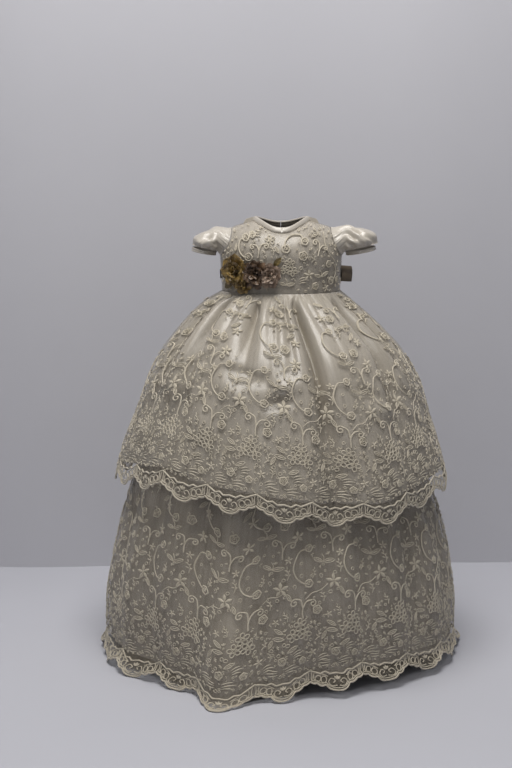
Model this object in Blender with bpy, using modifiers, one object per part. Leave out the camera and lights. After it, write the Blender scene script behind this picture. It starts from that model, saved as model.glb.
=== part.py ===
"""Christening gown for a baby, standing by itself on its spread hem.

Metres, +Z up, the front of the gown faces -Y and its left edge in a front view is -X.
Every piece of cloth is an open surface lofted through rings or columns of points,
and Solidify gives it its wall. The surfaces are worked out around the gown's own
upright axis; an empty carries that axis to its place over the origin.

Bearings are in degrees, counted from +X towards +Y, so 270 is the centre front.
"""

from math import cos, exp, hypot, pi, radians, sin

import bmesh
import bpy
from mathutils import Vector

# ---- driving sizes -----------------------------------------------------------
SATIN_WALL = 0.0012
LACE_WALL = 0.0010
RIBBON_WALL = 0.0012
SEAM_GAP = 0.0003              # left open between neighbouring pieces
AXIS_PLACE = (0.002, 0.017, 0.0)   # the gown's axis, with the box centred on the origin

WAIST_Z = 0.600
CHEST_Z = 0.655                # above this the bodice rounds over to the shoulder
SHOULDER_Z = 0.702             # tip of the shoulder seam
NECK_Z = 0.713                 # neck end of the shoulder seam
FRONT_NECK_Z = 0.697
BACK_NECK_Z = 0.704
UNDERARM_Z = 0.657
BODICE_HALF_WIDTH = 0.0985
BODICE_HALF_DEPTH = 0.078
WAIST_EASE = 0.003             # how much narrower the waist is than the chest
SHOULDER_TIP = 36.0            # degrees round from the side seam
NECK_POINT = 64.0

# Bodice panels: shares of the way from the side seam to the centre, and rows from the
# top down, each a swing round the armhole and a share of the way up the centre.
PANEL_COLUMNS = (0.0, 0.17, 0.34, 0.52, 0.68, 0.84, 1.0)
PANEL_ROWS = (
    (90.0, 1.00),
    (88.0, 0.93),
    (81.4, 0.84),
    (67.6, 0.74),
    (45.0, 0.60),
    (0.0, 0.42),
    (0.0, 0.00),
)

SKIRT_COLUMNS = 80
UNDER_COLUMNS = 56
SCALLOPS = 20
SCALLOP_RISE = 0.017           # height of the notches over the scallops
NOTCH_SHARE = 0.6              # a hanging notch keeps clear of the satin's hem
BORDER_DROP = 0.034            # lace border that hangs past the satin hem
FLOUNCE_TOP_Z = 0.385          # where the lower lace is sewn to the under skirt
FLOUNCE_STAND_OFF = 0.006
WAIST_LACE_OUT = 0.0022        # the lace over the satin where the skirt slopes at 45

# Satin of the upper tier: height, half width, half depth, how far it leans to +X.
UPPER_PROFILE = (
    (0.255, 0.2695, 0.260, 0.001),
    (0.302, 0.2675, 0.258, 0.001),
    (0.353, 0.2545, 0.245, 0.002),
    (0.400, 0.2380, 0.228, 0.003),
    (0.454, 0.2210, 0.208, 0.004),
    (0.505, 0.1950, 0.180, 0.002),
    (0.535, 0.1715, 0.154, 0.000),
    (0.560, 0.1480, 0.129, -0.002),
    (0.582, 0.1230, 0.103, -0.003),
    (0.5997, 0.0965, 0.0765, 0.000),
)

# Under skirt, satin: height, half width, half depth.
UNDER_PROFILE = (
    (0.000, 0.288, 0.264),
    (0.100, 0.288, 0.266),
    (0.200, 0.270, 0.254),
    (0.270, 0.249, 0.236),
    (0.400, 0.204, 0.192),
    (0.500, 0.152, 0.138),
    (0.560, 0.112, 0.094),
    (0.5997, 0.0930, 0.0730),
)

# Creases of the upper tier: bearing at the waist and at the hem, depth, half width
# in degrees, and the height where the crease has run out.
UPPER_FOLDS = (
    (8, 10, 0.012, 6.0, 0.34),
    (27, 24, 0.009, 5.5, 0.42),
    (47, 50, 0.013, 6.0, 0.28),
    (66, 68, 0.009, 5.0, 0.44),
    (84, 82, 0.012, 5.5, 0.36),
    (103, 106, 0.009, 5.0, 0.45),
    (122, 120, 0.014, 6.0, 0.26),
    (143, 146, 0.009, 5.5, 0.42),
    (163, 161, 0.012, 6.0, 0.34),
    (184, 186, 0.008, 5.5, 0.44),
    (202, 206, 0.010, 6.0, 0.36),
    (219, 222, 0.007, 5.0, 0.45),
    (235, 233, 0.014, 5.5, 0.38),
    (249, 248, 0.007, 4.5, 0.47),
    (261, 259, 0.011, 5.0, 0.44),
    (283, 288, 0.016, 6.0, 0.22),
    (297, 300, 0.006, 4.5, 0.47),
    (311, 308, 0.014, 5.5, 0.34),
    (326, 323, 0.012, 5.5, 0.36),
    (346, 343, 0.009, 5.5, 0.42),
)

# Hem of the upper tier: bearing, height of the scallops, how far the hem stands out.
UPPER_HEM = (
    (0, 0.285, 0.000),
    (30, 0.280, 0.006),
    (62, 0.275, -0.004),
    (92, 0.281, 0.005),
    (120, 0.285, -0.006),
    (150, 0.279, 0.004),
    (182, 0.284, 0.002),
    (205, 0.296, -0.005),
    (224, 0.303, 0.004),
    (241, 0.291, -0.003),
    (258, 0.284, 0.006),
    (277, 0.270, 0.002),
    (290, 0.263, -0.005),
    (304, 0.262, 0.006),
    (322, 0.272, -0.003),
    (340, 0.282, 0.003),
)

# Foot of the lower tier: bearing, reach and height of the satin's hem, spread of the
# lace border past it, height of the border's scallops.
FOOT_HEM = (
    (8, 0.286, 0.012, 0.014, 0.004),
    (30, 0.281, 0.000, 0.018, 0.000),
    (62, 0.268, 0.000, 0.024, 0.000),
    (90, 0.259, 0.000, 0.028, 0.000),
    (118, 0.272, 0.000, 0.022, 0.000),
    (148, 0.281, 0.000, 0.018, 0.000),
    (172, 0.287, 0.010, 0.012, 0.000),
    (190, 0.285, 0.024, 0.010, 0.000),
    (208, 0.281, 0.028, 0.018, 0.000),
    (224, 0.268, 0.024, 0.016, 0.000),
    (238, 0.274, 0.006, 0.014, 0.000),
    (252, 0.306, 0.000, 0.024, 0.000),
    (267, 0.268, 0.010, 0.016, 0.000),
    (280, 0.258, 0.026, 0.010, 0.008),
    (293, 0.262, 0.034, 0.010, 0.013),
    (308, 0.266, 0.034, 0.011, 0.013),
    (324, 0.276, 0.030, 0.012, 0.011),
    (340, 0.284, 0.024, 0.010, 0.008),
    (354, 0.287, 0.018, 0.008, 0.005),
)

# Soft folds of the under skirt and the flounce over it: bearing, depth, half width.
LOWER_FOLDS = (
    (22, 0.010, 8.0),
    (49, 0.013, 8.0),
    (76, 0.010, 7.0),
    (104, 0.012, 8.0),
    (133, 0.011, 8.0),
    (166, 0.009, 9.0),
    (199, 0.008, 7.0),
    (219, 0.010, 7.0),
    (240, 0.013, 6.5),
    (263, 0.014, 6.5),
    (281, 0.009, 6.0),
    (300, 0.010, 7.0),
    (321, 0.011, 7.0),
    (343, 0.009, 7.0),
)

# Heights of the rings. The upper tier has more rings, along its two hems.
UPPER_RINGS = (0.5997, 0.578, 0.545, 0.475)
UNDER_RINGS = (0.5997, 0.545, 0.385, 0.250, 0.115)
UNDER_TURN = 0.004             # the last strip of the under skirt hangs plumb
FLOUNCE_RINGS = (0.385, 0.250, 0.115)

# Sleeve sections, swung about the underarm: turn from upright, reach on the left and
# on the right, half depth.
SLEEVE_SECTIONS = (
    (3, 0.0425, 0.0435, 0.034),
    (25, 0.0365, 0.0410, 0.038),
    (45, 0.0360, 0.0450, 0.041),
    (62, 0.0400, 0.0530, 0.039),
    (76, 0.0410, 0.0540, 0.033),
)
SLEEVE_COLUMNS = 16
BAND_TURN = 79
BAND_REACH = (0.0395, 0.0490)
BAND_HALF_DEPTH = 0.0320
BAND_WIDTH = 0.0065
SLEEVE_FOOT, SLEEVE_RISE = 0.0015, 0.0055   # height of the turning point over the armhole's foot
UNDERARM_ROUND = 0.0035        # radius that the sleeve turns on under the arm

# Corsage: name, place across and up the bodice, radius, petals, colour.
GOLD = (0.20, 0.13, 0.045)
BROWN = (0.075, 0.045, 0.028)
TAUPE = (0.20, 0.145, 0.105)
ROSES = (
    ("rose_gold", -0.0680, 0.6400, 0.0175, 6, GOLD),
    ("rose_gold_small", -0.0585, 0.6155, 0.0085, 5, GOLD),
    ("rose_brown", -0.0395, 0.6360, 0.0108, 5, BROWN),
    ("rose_taupe", -0.0180, 0.6330, 0.0105, 5, TAUPE),
)
# Leaves: name, place of the foot across and up, direction in degrees, length.
LEAVES = (
    ("leaf_1", -0.0750, 0.6175, 212.0, 0.014),
    ("leaf_2", -0.0430, 0.6190, 250.0, 0.011),
    ("leaf_3", -0.0245, 0.6175, 300.0, 0.012),
    ("leaf_4", -0.0100, 0.6480, 50.0, 0.014),
)

# Bow at the back: place of the knot, and each loop's length along +X or -X.
BOW_X = 0.010
BOW_Z = 0.626
BOW_Y = 0.0905
LOOP_REACH = (-0.098, 0.113)
LOOP_DEPTH = 0.019
LOOP_POINTS = 12
LOOP_WIDTH = (0.015, 0.026)    # at the knot and at the far end
TAIL_WIDTH = 0.020
TAIL_BEARINGS = ((93, 101), (84, 78))   # at the knot and at the end, for each tail
TAIL_END_Z = 0.455
SASH_WIDTH = 0.014
SASH_END_SHARE = 0.9           # of the way from the side seam to the centre back
TAIL_SPREAD = 0.0055           # the tails leave the knot this far either side

BINDING_FOOT = 0.0024          # over the satin's edge, clear of the lace
BINDING_WIDTH = 0.0045

BUTTONS = 4
BUTTON_RADIUS = 0.0042

SATIN = (0.66, 0.62, 0.56)
LACE = (0.60, 0.56, 0.48)
RIBBON = (0.11, 0.085, 0.06)
PEARL = (0.70, 0.66, 0.60)
LEAF = (0.13, 0.10, 0.03)


# ---- tables and curves -------------------------------------------------------
def smooth(table, at, column):
    """A column's value on a smooth curve through the rows of a sorted table."""
    last = len(table) - 1
    if at <= table[0][0]:
        return table[0][column]
    if at >= table[last][0]:
        return table[last][column]
    low = max(k for k in range(last) if table[k][0] <= at)
    step = table[low + 1][0] - table[low][0]
    share = (at - table[low][0]) / step

    def slope(k):
        before, after = max(k - 1, 0), min(k + 1, last)
        rise = table[after][column] - table[before][column]
        return rise / (table[after][0] - table[before][0])

    start, end = table[low][column], table[low + 1][column]
    return (
        start * (1 + 2 * share) * (1 - share) ** 2
        + end * (3 - 2 * share) * share ** 2
        + step * share * (1 - share) * (slope(low) * (1 - share) - slope(low + 1) * share)
    )


def around(table, bearing, column):
    """The same for a table of bearings, which closes on itself."""
    turned = [(row[0] + turn,) + row[1:] for turn in (-360, 0, 360) for row in table]
    return smooth(turned, bearing % 360, column)


def ease(share):
    """Runs from 0 to 1 with soft ends."""
    share = min(max(share, 0.0), 1.0)
    return share * share * (3 - 2 * share)


def mix(start, end, share):
    return start + (end - start) * share


def apart(bearing, other):
    """Signed angle between two bearings, from -180 to 180."""
    return (bearing - other + 180) % 360 - 180


def oval(half_width, half_depth, bearing):
    """Distance from the middle of an ellipse to its edge."""
    turn = radians(bearing)
    return half_width * half_depth / hypot(half_depth * cos(turn), half_width * sin(turn))


def on_bearing(bearing, reach, z, lean=0.0):
    turn = radians(bearing)
    return Vector((reach * cos(turn) + lean, reach * sin(turn), z))


# ---- skirt surfaces ----------------------------------------------------------
def scallop(bearing):
    """0 at the foot of a scallop and 1 in the notch beside it."""
    return 1 - abs(cos(radians(bearing) * SCALLOPS / 2))


def upper_fold(bearing, z):
    depth = 0.0
    for top, low, deep, half_width, end_z in UPPER_FOLDS:
        centre = mix(top, top + apart(low, top), (WAIST_Z - z) / (WAIST_Z - 0.28))
        fade = ease((z - end_z) / 0.12) * ease((WAIST_Z - z) / 0.045)
        depth += deep * fade * exp(-(apart(bearing, centre) / half_width) ** 2)
    return depth


def upper_point(bearing, z, out=0.0):
    """Outer face of the upper tier's satin, or that far out from it."""
    return on_bearing(bearing, upper_reach(bearing, z) + out, z, smooth(UPPER_PROFILE, z, 3))


def upper_reach(bearing, z):
    """Distance of that face from the tier's own axis."""
    plain = oval(smooth(UPPER_PROFILE, z, 1), smooth(UPPER_PROFILE, z, 2), bearing)
    low = ease((0.50 - z) / 0.24)
    return plain - upper_fold(bearing, z) + around(UPPER_HEM, bearing, 2) * low


def lower_fold(bearing, z):
    depth = 0.0
    for centre, deep, half_width in LOWER_FOLDS:
        depth += deep * exp(-(apart(bearing, centre) / half_width) ** 2)
    return depth * ease((0.45 - z) / 0.25) * mix(0.5, 1.0, ease(z / 0.15))


def under_reach(bearing, z):
    """Outer face of the under skirt."""
    plain = oval(smooth(UNDER_PROFILE, z, 1), smooth(UNDER_PROFILE, z, 2), bearing)
    foot = oval(UNDER_PROFILE[0][1], UNDER_PROFILE[0][2], bearing)
    spread = (around(FOOT_HEM, bearing, 1) - foot) * ease((0.24 - z) / 0.24) ** 1.5
    return plain + spread - lower_fold(bearing, z)


def foot_height(bearing):
    """Height of the under skirt's hem."""
    return max(around(FOOT_HEM, bearing, 2), 0.0)


def bearings(count):
    return [360 * i / count for i in range(count)]


def moved_out(rings, distance):
    """The points of closed rings moved along their normals."""
    rows, columns = len(rings), len(rings[0])
    moved = []
    for r in range(rows):
        ring = []
        for c in range(columns):
            along = rings[r][(c + 1) % columns] - rings[r][c - 1]
            down = rings[min(r + 1, rows - 1)][c] - rings[max(r - 1, 0)][c]
            ring.append(rings[r][c] + down.cross(along).normalized() * distance)
        moved.append(ring)
    return moved


# ---- making pieces -----------------------------------------------------------
def clear_scene():
    for item in list(bpy.data.objects):
        bpy.data.objects.remove(item, do_unlink=True)


def make_material(name, colour, roughness):
    material = bpy.data.materials.new(name)
    material.use_nodes = True
    shader = material.node_tree.nodes["Principled BSDF"]
    shader.inputs["Base Color"].default_value = (*colour, 1.0)
    shader.inputs["Roughness"].default_value = roughness
    shader.inputs["Metallic"].default_value = 0.0
    return material


def place(name, mesh, axis, collection, colour, roughness=0.6):
    piece = bpy.data.objects.new(name, mesh)
    collection.objects.link(piece)
    piece.parent = axis
    mesh.materials.append(make_material(name, colour, roughness))
    return piece


def loft(name, rings, closed, wall, kit, colour, roughness=0.6):
    """An open surface through rings of points, from the top down, with its wall inside."""
    axis, collection = kit
    grid = bmesh.new()
    rows = [[grid.verts.new(point) for point in ring] for ring in rings]
    columns = len(rings[0])
    for upper, lower in zip(rows, rows[1:]):
        for c in range(columns if closed else columns - 1):
            n = (c + 1) % columns
            grid.faces.new((upper[c], lower[c], lower[n], upper[n]))
    mesh = bpy.data.meshes.new(name)
    grid.to_mesh(mesh)
    grid.free()
    piece = place(name, mesh, axis, collection, colour, roughness)
    shell = piece.modifiers.new("wall", "SOLIDIFY")
    shell.thickness = wall
    shell.offset = -1.0
    return piece


# ---- skirts ------------------------------------------------------------------
def upper_rings(lace):
    """Rings of the upper tier, down to the satin's hem or to the lace's scallops."""
    rings = [[upper_point(b, z) for b in bearings(SKIRT_COLUMNS)] for z in UPPER_RINGS]
    for drop in (BORDER_DROP, 0.0) if lace else (BORDER_DROP,):
        hem = []
        for b in bearings(SKIRT_COLUMNS):
            z = around(UPPER_HEM, b, 1) + (drop or scallop(b) * SCALLOP_RISE)
            hem.append(upper_point(b, z))
        rings.append(hem)
    return rings


def make_upper_tier(kit):
    loft("tier_upper_satin", upper_rings(False), True, SATIN_WALL, kit, SATIN, 0.42)
    lace = moved_out(upper_rings(True), SEAM_GAP + LACE_WALL)
    for row, z in zip(lace[1:], UPPER_RINGS[1:] + (0.0, 0.0)):
        stand = 0.0030 * ease((WAIST_Z - z) / 0.15)
        for point, bearing in zip(row, bearings(SKIRT_COLUMNS)):
            point += on_bearing(bearing, stand, 0.0)
    for point, bearing in zip(lace[0], bearings(SKIRT_COLUMNS)):
        point.xyz = upper_point(bearing, UPPER_RINGS[0], WAIST_LACE_OUT)
    loft("tier_upper_lace", lace, True, LACE_WALL, kit, LACE, 0.8)


def make_under_skirt(kit):
    columns = bearings(UNDER_COLUMNS)
    rings = [[on_bearing(b, under_reach(b, z), z) for b in columns] for z in UNDER_RINGS]
    for above in (UNDER_TURN, 0.0):
        foot = [(b, foot_height(b)) for b in columns]
        rings.append([on_bearing(b, under_reach(b, z + UNDER_TURN), z + above) for b, z in foot])
    loft("skirt_satin", rings, True, SATIN_WALL, kit, SATIN, 0.42)


def make_flounce(kit):
    """Lower lace: over the under skirt, its border hanging free or lying on the surface."""
    columns = bearings(SKIRT_COLUMNS)
    rings = []
    for z in FLOUNCE_RINGS:
        off = mix(0.0025, FLOUNCE_STAND_OFF, ease((FLOUNCE_TOP_Z - z) / 0.1))
        rings.append([on_bearing(b, under_reach(b, z) + off, z) for b in columns])
    bend, middle, edge = [], [], []
    for b in columns:
        hem_z = foot_height(b)
        foot = under_reach(b, hem_z + UNDER_TURN) + FLOUNCE_STAND_OFF
        lying = ease(1 - hem_z / 0.015)
        spread = max(around(FOOT_HEM, b, 3), 0.0)
        low = LACE_WALL + max(around(FOOT_HEM, b, 4), 0.0)
        rise = scallop(b) * min(SCALLOP_RISE, max(hem_z - low, 0.0) * NOTCH_SHARE) * (1 - lying)
        out = foot + spread * mix(1.0, 0.45, scallop(b) * lying)
        halfway = mix((hem_z + low + rise) / 2, low, lying)
        bend.append(on_bearing(b, foot + 0.003, hem_z + 0.009))
        middle.append(on_bearing(b, mix(foot + 0.003, out, 0.45), halfway))
        edge.append(on_bearing(b, out, low + rise))
    loft("tier_lower_lace", rings + [bend, middle, edge], True, LACE_WALL, kit, LACE, 0.8)


# ---- bodice ------------------------------------------------------------------
def ridge_z(turn):
    """Height where the front meets the back, at an angle round from the side seam."""
    if turn <= SHOULDER_TIP:
        return SHOULDER_Z
    return mix(SHOULDER_Z, NECK_Z, min((turn - SHOULDER_TIP) / (NECK_POINT - SHOULDER_TIP), 1.0))


def top_z(turn, neck_z):
    """Top edge of the bodice: shoulder seam, then neckline."""
    if turn <= NECK_POINT:
        return ridge_z(turn)
    return mix(NECK_Z, neck_z, ease((turn - NECK_POINT) / 24) ** 0.7)


def level(z, turn):
    """Height as a parameter: 0 at the waist, 1 at the chest, 2 at the ridge."""
    if z <= CHEST_Z:
        return (z - WAIST_Z) / (CHEST_Z - WAIST_Z)
    rise = min((z - CHEST_Z) / (ridge_z(turn) - CHEST_Z), 1.0)
    return 1 + 2 * asin_share(rise) / pi


def asin_share(rise):
    """Angle whose sine is rise, by halving."""
    low, high = 0.0, pi / 2
    for _ in range(40):
        middle = (low + high) / 2
        low, high = (middle, high) if sin(middle) < rise else (low, middle)
    return (low + high) / 2


def bodice_surface(side, face, turn, at):
    """Satin's outer face; side -1 left or 1 right, face -1 front or 1 back."""
    if at <= 1:
        z, roof = mix(WAIST_Z, CHEST_Z, at), 1.0
    else:
        angle = (at - 1) * pi / 2
        z = CHEST_Z + (ridge_z(turn) - CHEST_Z) * sin(angle)
        roof = cos(angle)
    ease_in = WAIST_EASE * (1 - min(at, 1.0))
    x = side * (BODICE_HALF_WIDTH - ease_in) * cos(radians(turn))
    y = face * (BODICE_HALF_DEPTH - ease_in) * sin(radians(turn)) * roof
    return Vector((x, y, z))


def bodice_point(side, face, turn, at, lift=0.0):
    """The same, moved out by lift and kept clear of the seams in the plane y = 0."""
    step = 0.01
    across = bodice_surface(side, face, turn + 1, at) - bodice_surface(side, face, turn - 1, at)
    up = bodice_surface(side, face, turn, at + step) - bodice_surface(side, face, turn, at - step)
    normal = across.cross(up).normalized() * side * face
    point = bodice_surface(side, face, turn, at) + normal * lift
    point.y = face * max(face * point.y, SEAM_GAP / 2)
    return point


def armhole_edge(swing):
    """Turn and height on the armhole, for a swing of 0 under the arm to 90 at the shoulder."""
    height = mix(UNDERARM_Z, SHOULDER_Z, 1 - cos(radians(swing)))
    return SHOULDER_TIP * sin(radians(swing)), height


def panel_column(side, face, neck_z, across, lift):
    """Points from the top edge down, at a share of the way from the side to the centre."""
    top_turn = mix(SHOULDER_TIP, 90.0, across)
    full = level(top_z(top_turn, neck_z), top_turn)
    column = []
    for swing, share in PANEL_ROWS:
        edge_turn, edge_z = armhole_edge(swing)
        edge_share = level(edge_z, edge_turn) / 2 if share else 0.0
        turn = mix(edge_turn, 90.0, across)
        column.append(bodice_point(side, face, turn, full * mix(edge_share, share, across), lift))
    column[-1].z = WAIST_Z
    if across == 0.0:
        for point in column[-2:]:
            point.y = face * SEAM_GAP / 2
    return column


def rings_of(columns):
    return [list(ring) for ring in zip(*columns)]


def front_rings(lift):
    left = [panel_column(-1, -1, FRONT_NECK_Z, share, lift) for share in PANEL_COLUMNS]
    right = [panel_column(1, -1, FRONT_NECK_Z, share, lift) for share in PANEL_COLUMNS]
    return rings_of(left + right[-2::-1])


def back_rings(side, lift):
    columns = [panel_column(side, 1, BACK_NECK_Z, share, lift) for share in PANEL_COLUMNS]
    for point in columns[-1]:
        point.x = side * SEAM_GAP / 2
    return rings_of(columns if side > 0 else columns[::-1])


def panel(name, rings_at, lift, wall, kit, colour, roughness):
    """Bodice panel whose cut edges lie in the seam planes: an outer and an inner skin."""
    outer, inner = rings_at(lift), rings_at(lift - wall)
    rows, columns = len(outer), len(outer[0])
    rim = [(0, c) for c in range(columns)]
    rim += [(r, columns - 1) for r in range(1, rows)]
    rim += [(rows - 1, c) for c in range(columns - 2, -1, -1)]
    rim += [(r, 0) for r in range(rows - 2, 0, -1)]
    body = bmesh.new()
    out = [[body.verts.new(point) for point in ring] for ring in outer]
    lining = [[body.verts.new(point) for point in ring] for ring in inner]
    for r in range(rows - 1):
        for c in range(columns - 1):
            for skin in (out, lining):
                a, b = skin[r][c], skin[r + 1][c]
                d, e = skin[r][c + 1], skin[r + 1][c + 1]
                halves = ((a, b, d), (d, b, e)) if c < columns // 2 else ((a, b, e), (a, e, d))
                for half in halves:
                    body.faces.new(half if skin is out else half[::-1])
    for (r, c), (s, d) in zip(rim, rim[1:] + rim[:1]):
        body.faces.new((out[r][c], out[s][d], lining[s][d], lining[r][c]))
    mesh = bpy.data.meshes.new(name)
    body.to_mesh(mesh)
    body.free()
    place(name, mesh, kit[0], kit[1], colour, roughness)


def make_bodice(kit):
    lift = SEAM_GAP + LACE_WALL
    cuts = (
        ("front", front_rings),
        ("back_left", lambda height: back_rings(-1, height)),
        ("back_right", lambda height: back_rings(1, height)),
    )
    for name, rings_at in cuts:
        panel("bodice_" + name, rings_at, 0.0, SATIN_WALL, kit, SATIN, 0.42)
        panel("lace_" + name, rings_at, lift, LACE_WALL, kit, LACE, 0.8)


def make_neck_binding(kit):
    """Bias strip standing on the neck edge, open at the centre back."""
    turns = [mix(SHOULDER_TIP, 90.0, share) for share in PANEL_COLUMNS if share > 0.5]

    def run(side, face, neck_z):
        return [bodice_point(side, face, t, level(top_z(t, neck_z), t)) for t in turns]

    left_back, left_front = run(-1, 1, BACK_NECK_Z), run(-1, -1, FRONT_NECK_Z)
    right_front, right_back = run(1, -1, FRONT_NECK_Z), run(1, 1, BACK_NECK_Z)
    path = left_back[::-1] + left_front[1:] + right_front[-2::-1] + right_back[1:]
    path[0].x, path[-1].x = -SEAM_GAP, SEAM_GAP
    lower = [point + Vector((0, 0, BINDING_FOOT)) for point in path]
    upper = [Vector((p.x * 0.97, p.y * 0.97, p.z + BINDING_WIDTH)) for p in lower]
    loft("neck_binding", [upper, lower], False, SATIN_WALL, kit, SATIN, 0.45)


# ---- sleeves -----------------------------------------------------------------
def armhole(side, share):
    """Point on the armhole's edge: 0 under the arm, 0.5 at the shoulder, forward first."""
    face = -1 if share <= 0.5 else 1
    turn, z = armhole_edge(180 * min(share, 1 - share))
    return bodice_point(side, face, turn, level(z, turn))


def section_point(side, turn, reach, half_depth, share):
    """Point of a sleeve section swung out about the underarm."""
    foot = UNDERARM_Z + SLEEVE_FOOT + SLEEVE_RISE * min(1, turn / 45)
    pivot = Vector((side * (BODICE_HALF_WIDTH + 0.0035), 0, foot))
    ray = Vector((side * sin(radians(turn)), 0, cos(radians(turn))))
    half = (reach - UNDERARM_ROUND) / 2
    out = UNDERARM_ROUND + half * (1 - cos(2 * pi * share))
    across = -half_depth * sin(2 * pi * share)
    return pivot + ray * out + Vector((0, across, 0))


def ordered(side, ring):
    """Rings run the same way round on both sides, so that walls go inwards."""
    return ring if side > 0 else ring[::-1]


def make_sleeve(side, kit):
    name = "left" if side < 0 else "right"
    shares = [c / SLEEVE_COLUMNS for c in range(SLEEVE_COLUMNS)]
    root = []
    for share in shares:
        edge = armhole(side, share)
        middle = Vector((edge.x, 0, (UNDERARM_Z + SHOULDER_Z) / 2))
        spread = (edge - middle).normalized() * 0.0022
        root.append(edge + spread + Vector((side * 0.0024, 0, 0)))
    rings = [root]
    for turn, left_reach, right_reach, half_depth in SLEEVE_SECTIONS:
        reach = left_reach if side < 0 else right_reach
        rings.append([section_point(side, turn, reach, half_depth, s) for s in shares])
    loft("sleeve_" + name, [ordered(side, r) for r in rings], True, SATIN_WALL, kit, SATIN, 0.42)

    reach = BAND_REACH[0] if side < 0 else BAND_REACH[1]
    turn = radians(BAND_TURN)
    onward = Vector((side * cos(turn), 0, -sin(turn)))
    top = [section_point(side, BAND_TURN, reach, BAND_HALF_DEPTH, s) for s in shares]
    band = [[p + onward * 0.0012 for p in top], [p + onward * (0.0012 + BAND_WIDTH) for p in top]]
    loft("sleeve_band_" + name, [ordered(side, r) for r in band], True, SATIN_WALL, kit, SATIN, 0.42)


# ---- sash, bow and buttons -----------------------------------------------------
def make_sash(side, kit):
    """Tie from the side seam to the knot, laid over the back's lace."""
    lift = 2 * SEAM_GAP + LACE_WALL + RIBBON_WALL
    turns = [90.0 * share for share in PANEL_COLUMNS if share < SASH_END_SHARE]
    rows = []
    for z in (BOW_Z + SASH_WIDTH / 2, BOW_Z - SASH_WIDTH / 2):
        row = [bodice_point(side, 1, turn, level(z, turn), lift) for turn in turns]
        rows.append(row if side > 0 else row[::-1])
    name = "sash_" + ("left" if side < 0 else "right")
    loft(name, rows, False, RIBBON_WALL, kit, RIBBON, 0.35)


def make_bow(kit):
    for side, reach in zip((-1, 1), LOOP_REACH):
        outline = []
        for step in range(LOOP_POINTS):
            turn = 2 * pi * (step + 0.5) / LOOP_POINTS
            along = (1 - cos(turn)) / 2
            across = sin(turn) * LOOP_DEPTH / 2 * (0.75 + 0.35 * along)
            outline.append((mix(side * 0.0115, reach, along), across, along))
        rows = []
        for end in (1, -1):
            rows.append([
                Vector((
                    BOW_X + x,
                    BOW_Y + y - 0.004 * along,
                    BOW_Z - 0.004 * along + end * mix(*LOOP_WIDTH, ease(along * 1.4)) / 2,
                ))
                for x, y, along in outline
            ])
        name = "bow_loop_" + ("left" if side < 0 else "right")
        loft(name, [ordered(-side, r) for r in rows], True, RIBBON_WALL, kit, RIBBON, 0.35)

    axis, collection = kit
    knot = bmesh.new()
    bmesh.ops.create_uvsphere(knot, u_segments=10, v_segments=5, radius=0.5)
    for vert in knot.verts:
        vert.co = Vector((vert.co.x * 0.018, vert.co.y * 0.013, vert.co.z * 0.021))
    mesh = bpy.data.meshes.new("bow_knot")
    knot.to_mesh(mesh)
    knot.free()
    piece = place("bow_knot", mesh, axis, collection, RIBBON, 0.35)
    piece.location = (BOW_X, BOW_Y, BOW_Z)

    heights = [mix(0.590, TAIL_END_Z, (k / 6) ** 0.9) for k in range(7)]
    for name, (start, end) in zip(("left", "right"), TAIL_BEARINGS):
        middle = BOW_X + (-TAIL_SPREAD if name == "left" else TAIL_SPREAD)
        rows = [[Vector((middle - half, BOW_Y - 0.002, BOW_Z - 0.0135)) for half in (0.004, 0, -0.004)]]
        for z in heights:
            share = (heights[0] - z) / (heights[0] - heights[-1])
            reach = upper_reach(mix(start, end, share), z)
            across = TAIL_WIDTH / 2 * mix(0.7, 1.0, ease(share * 2))
            rows.append([
                tail_point(mix(start, end, share), half * across / reach, z)
                for half in (1, 0, -1)
            ])
        loft("bow_tail_" + name, rows, False, RIBBON_WALL, kit, RIBBON, 0.35)


def tail_point(bearing, swing, z):
    """A tail lies clear of the tier's folds, on its proudest part nearby."""
    here = bearing + swing * 180 / pi
    reach = max(upper_reach(here + step, z) for step in (-5, -2.5, 0, 2.5, 5)) + 0.0085
    return on_bearing(here, reach, z, smooth(UPPER_PROFILE, z, 3))


def make_buttons(kit):
    axis, collection = kit
    for k in range(BUTTONS):
        z = mix(BACK_NECK_Z - 0.008, CHEST_Z - 0.003, k / (BUTTONS - 1))
        base = bodice_point(1, 1, 86.0, level(z, 86.0))
        above = bodice_point(1, 1, 86.0, level(z + 0.001, 86.0))
        below = bodice_point(1, 1, 86.0, level(z - 0.001, 86.0))
        up = (above - below).normalized()
        out = Vector((0, up.z, -up.y))
        name = "button_%d" % (k + 1)
        body = bmesh.new()
        bmesh.ops.create_uvsphere(body, u_segments=8, v_segments=4, radius=BUTTON_RADIUS)
        for vert in body.verts:
            vert.co.z *= 0.45
        mesh = bpy.data.meshes.new(name)
        body.to_mesh(mesh)
        body.free()
        piece = place(name, mesh, axis, collection, PEARL, 0.3)
        piece.rotation_mode = "QUATERNION"
        piece.rotation_quaternion = out.to_track_quat("Z", "Y")
        piece.location = base + out * (LACE_WALL + SEAM_GAP * 2 + BUTTON_RADIUS * 0.45)


# ---- corsage -----------------------------------------------------------------
def front_frame(x, z):
    """Point on the front's satin at a place across and up, and its outward normal."""
    def point(px, pz):
        low, high = 0.0, 90.0
        for _ in range(40):
            middle = (low + high) / 2
            wide = abs(bodice_point(-1, -1, middle, level(pz, middle)).x) > abs(px)
            low, high = (middle, high) if wide else (low, middle)
        spot = bodice_point(-1, -1, low, level(pz, low))
        return Vector((px, spot.y, pz))
    across = point(x + 0.0005, z) - point(x - 0.0005, z)
    up = point(x, z + 0.0005) - point(x, z - 0.0005)
    return point(x, z), across.cross(up).normalized()


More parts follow.
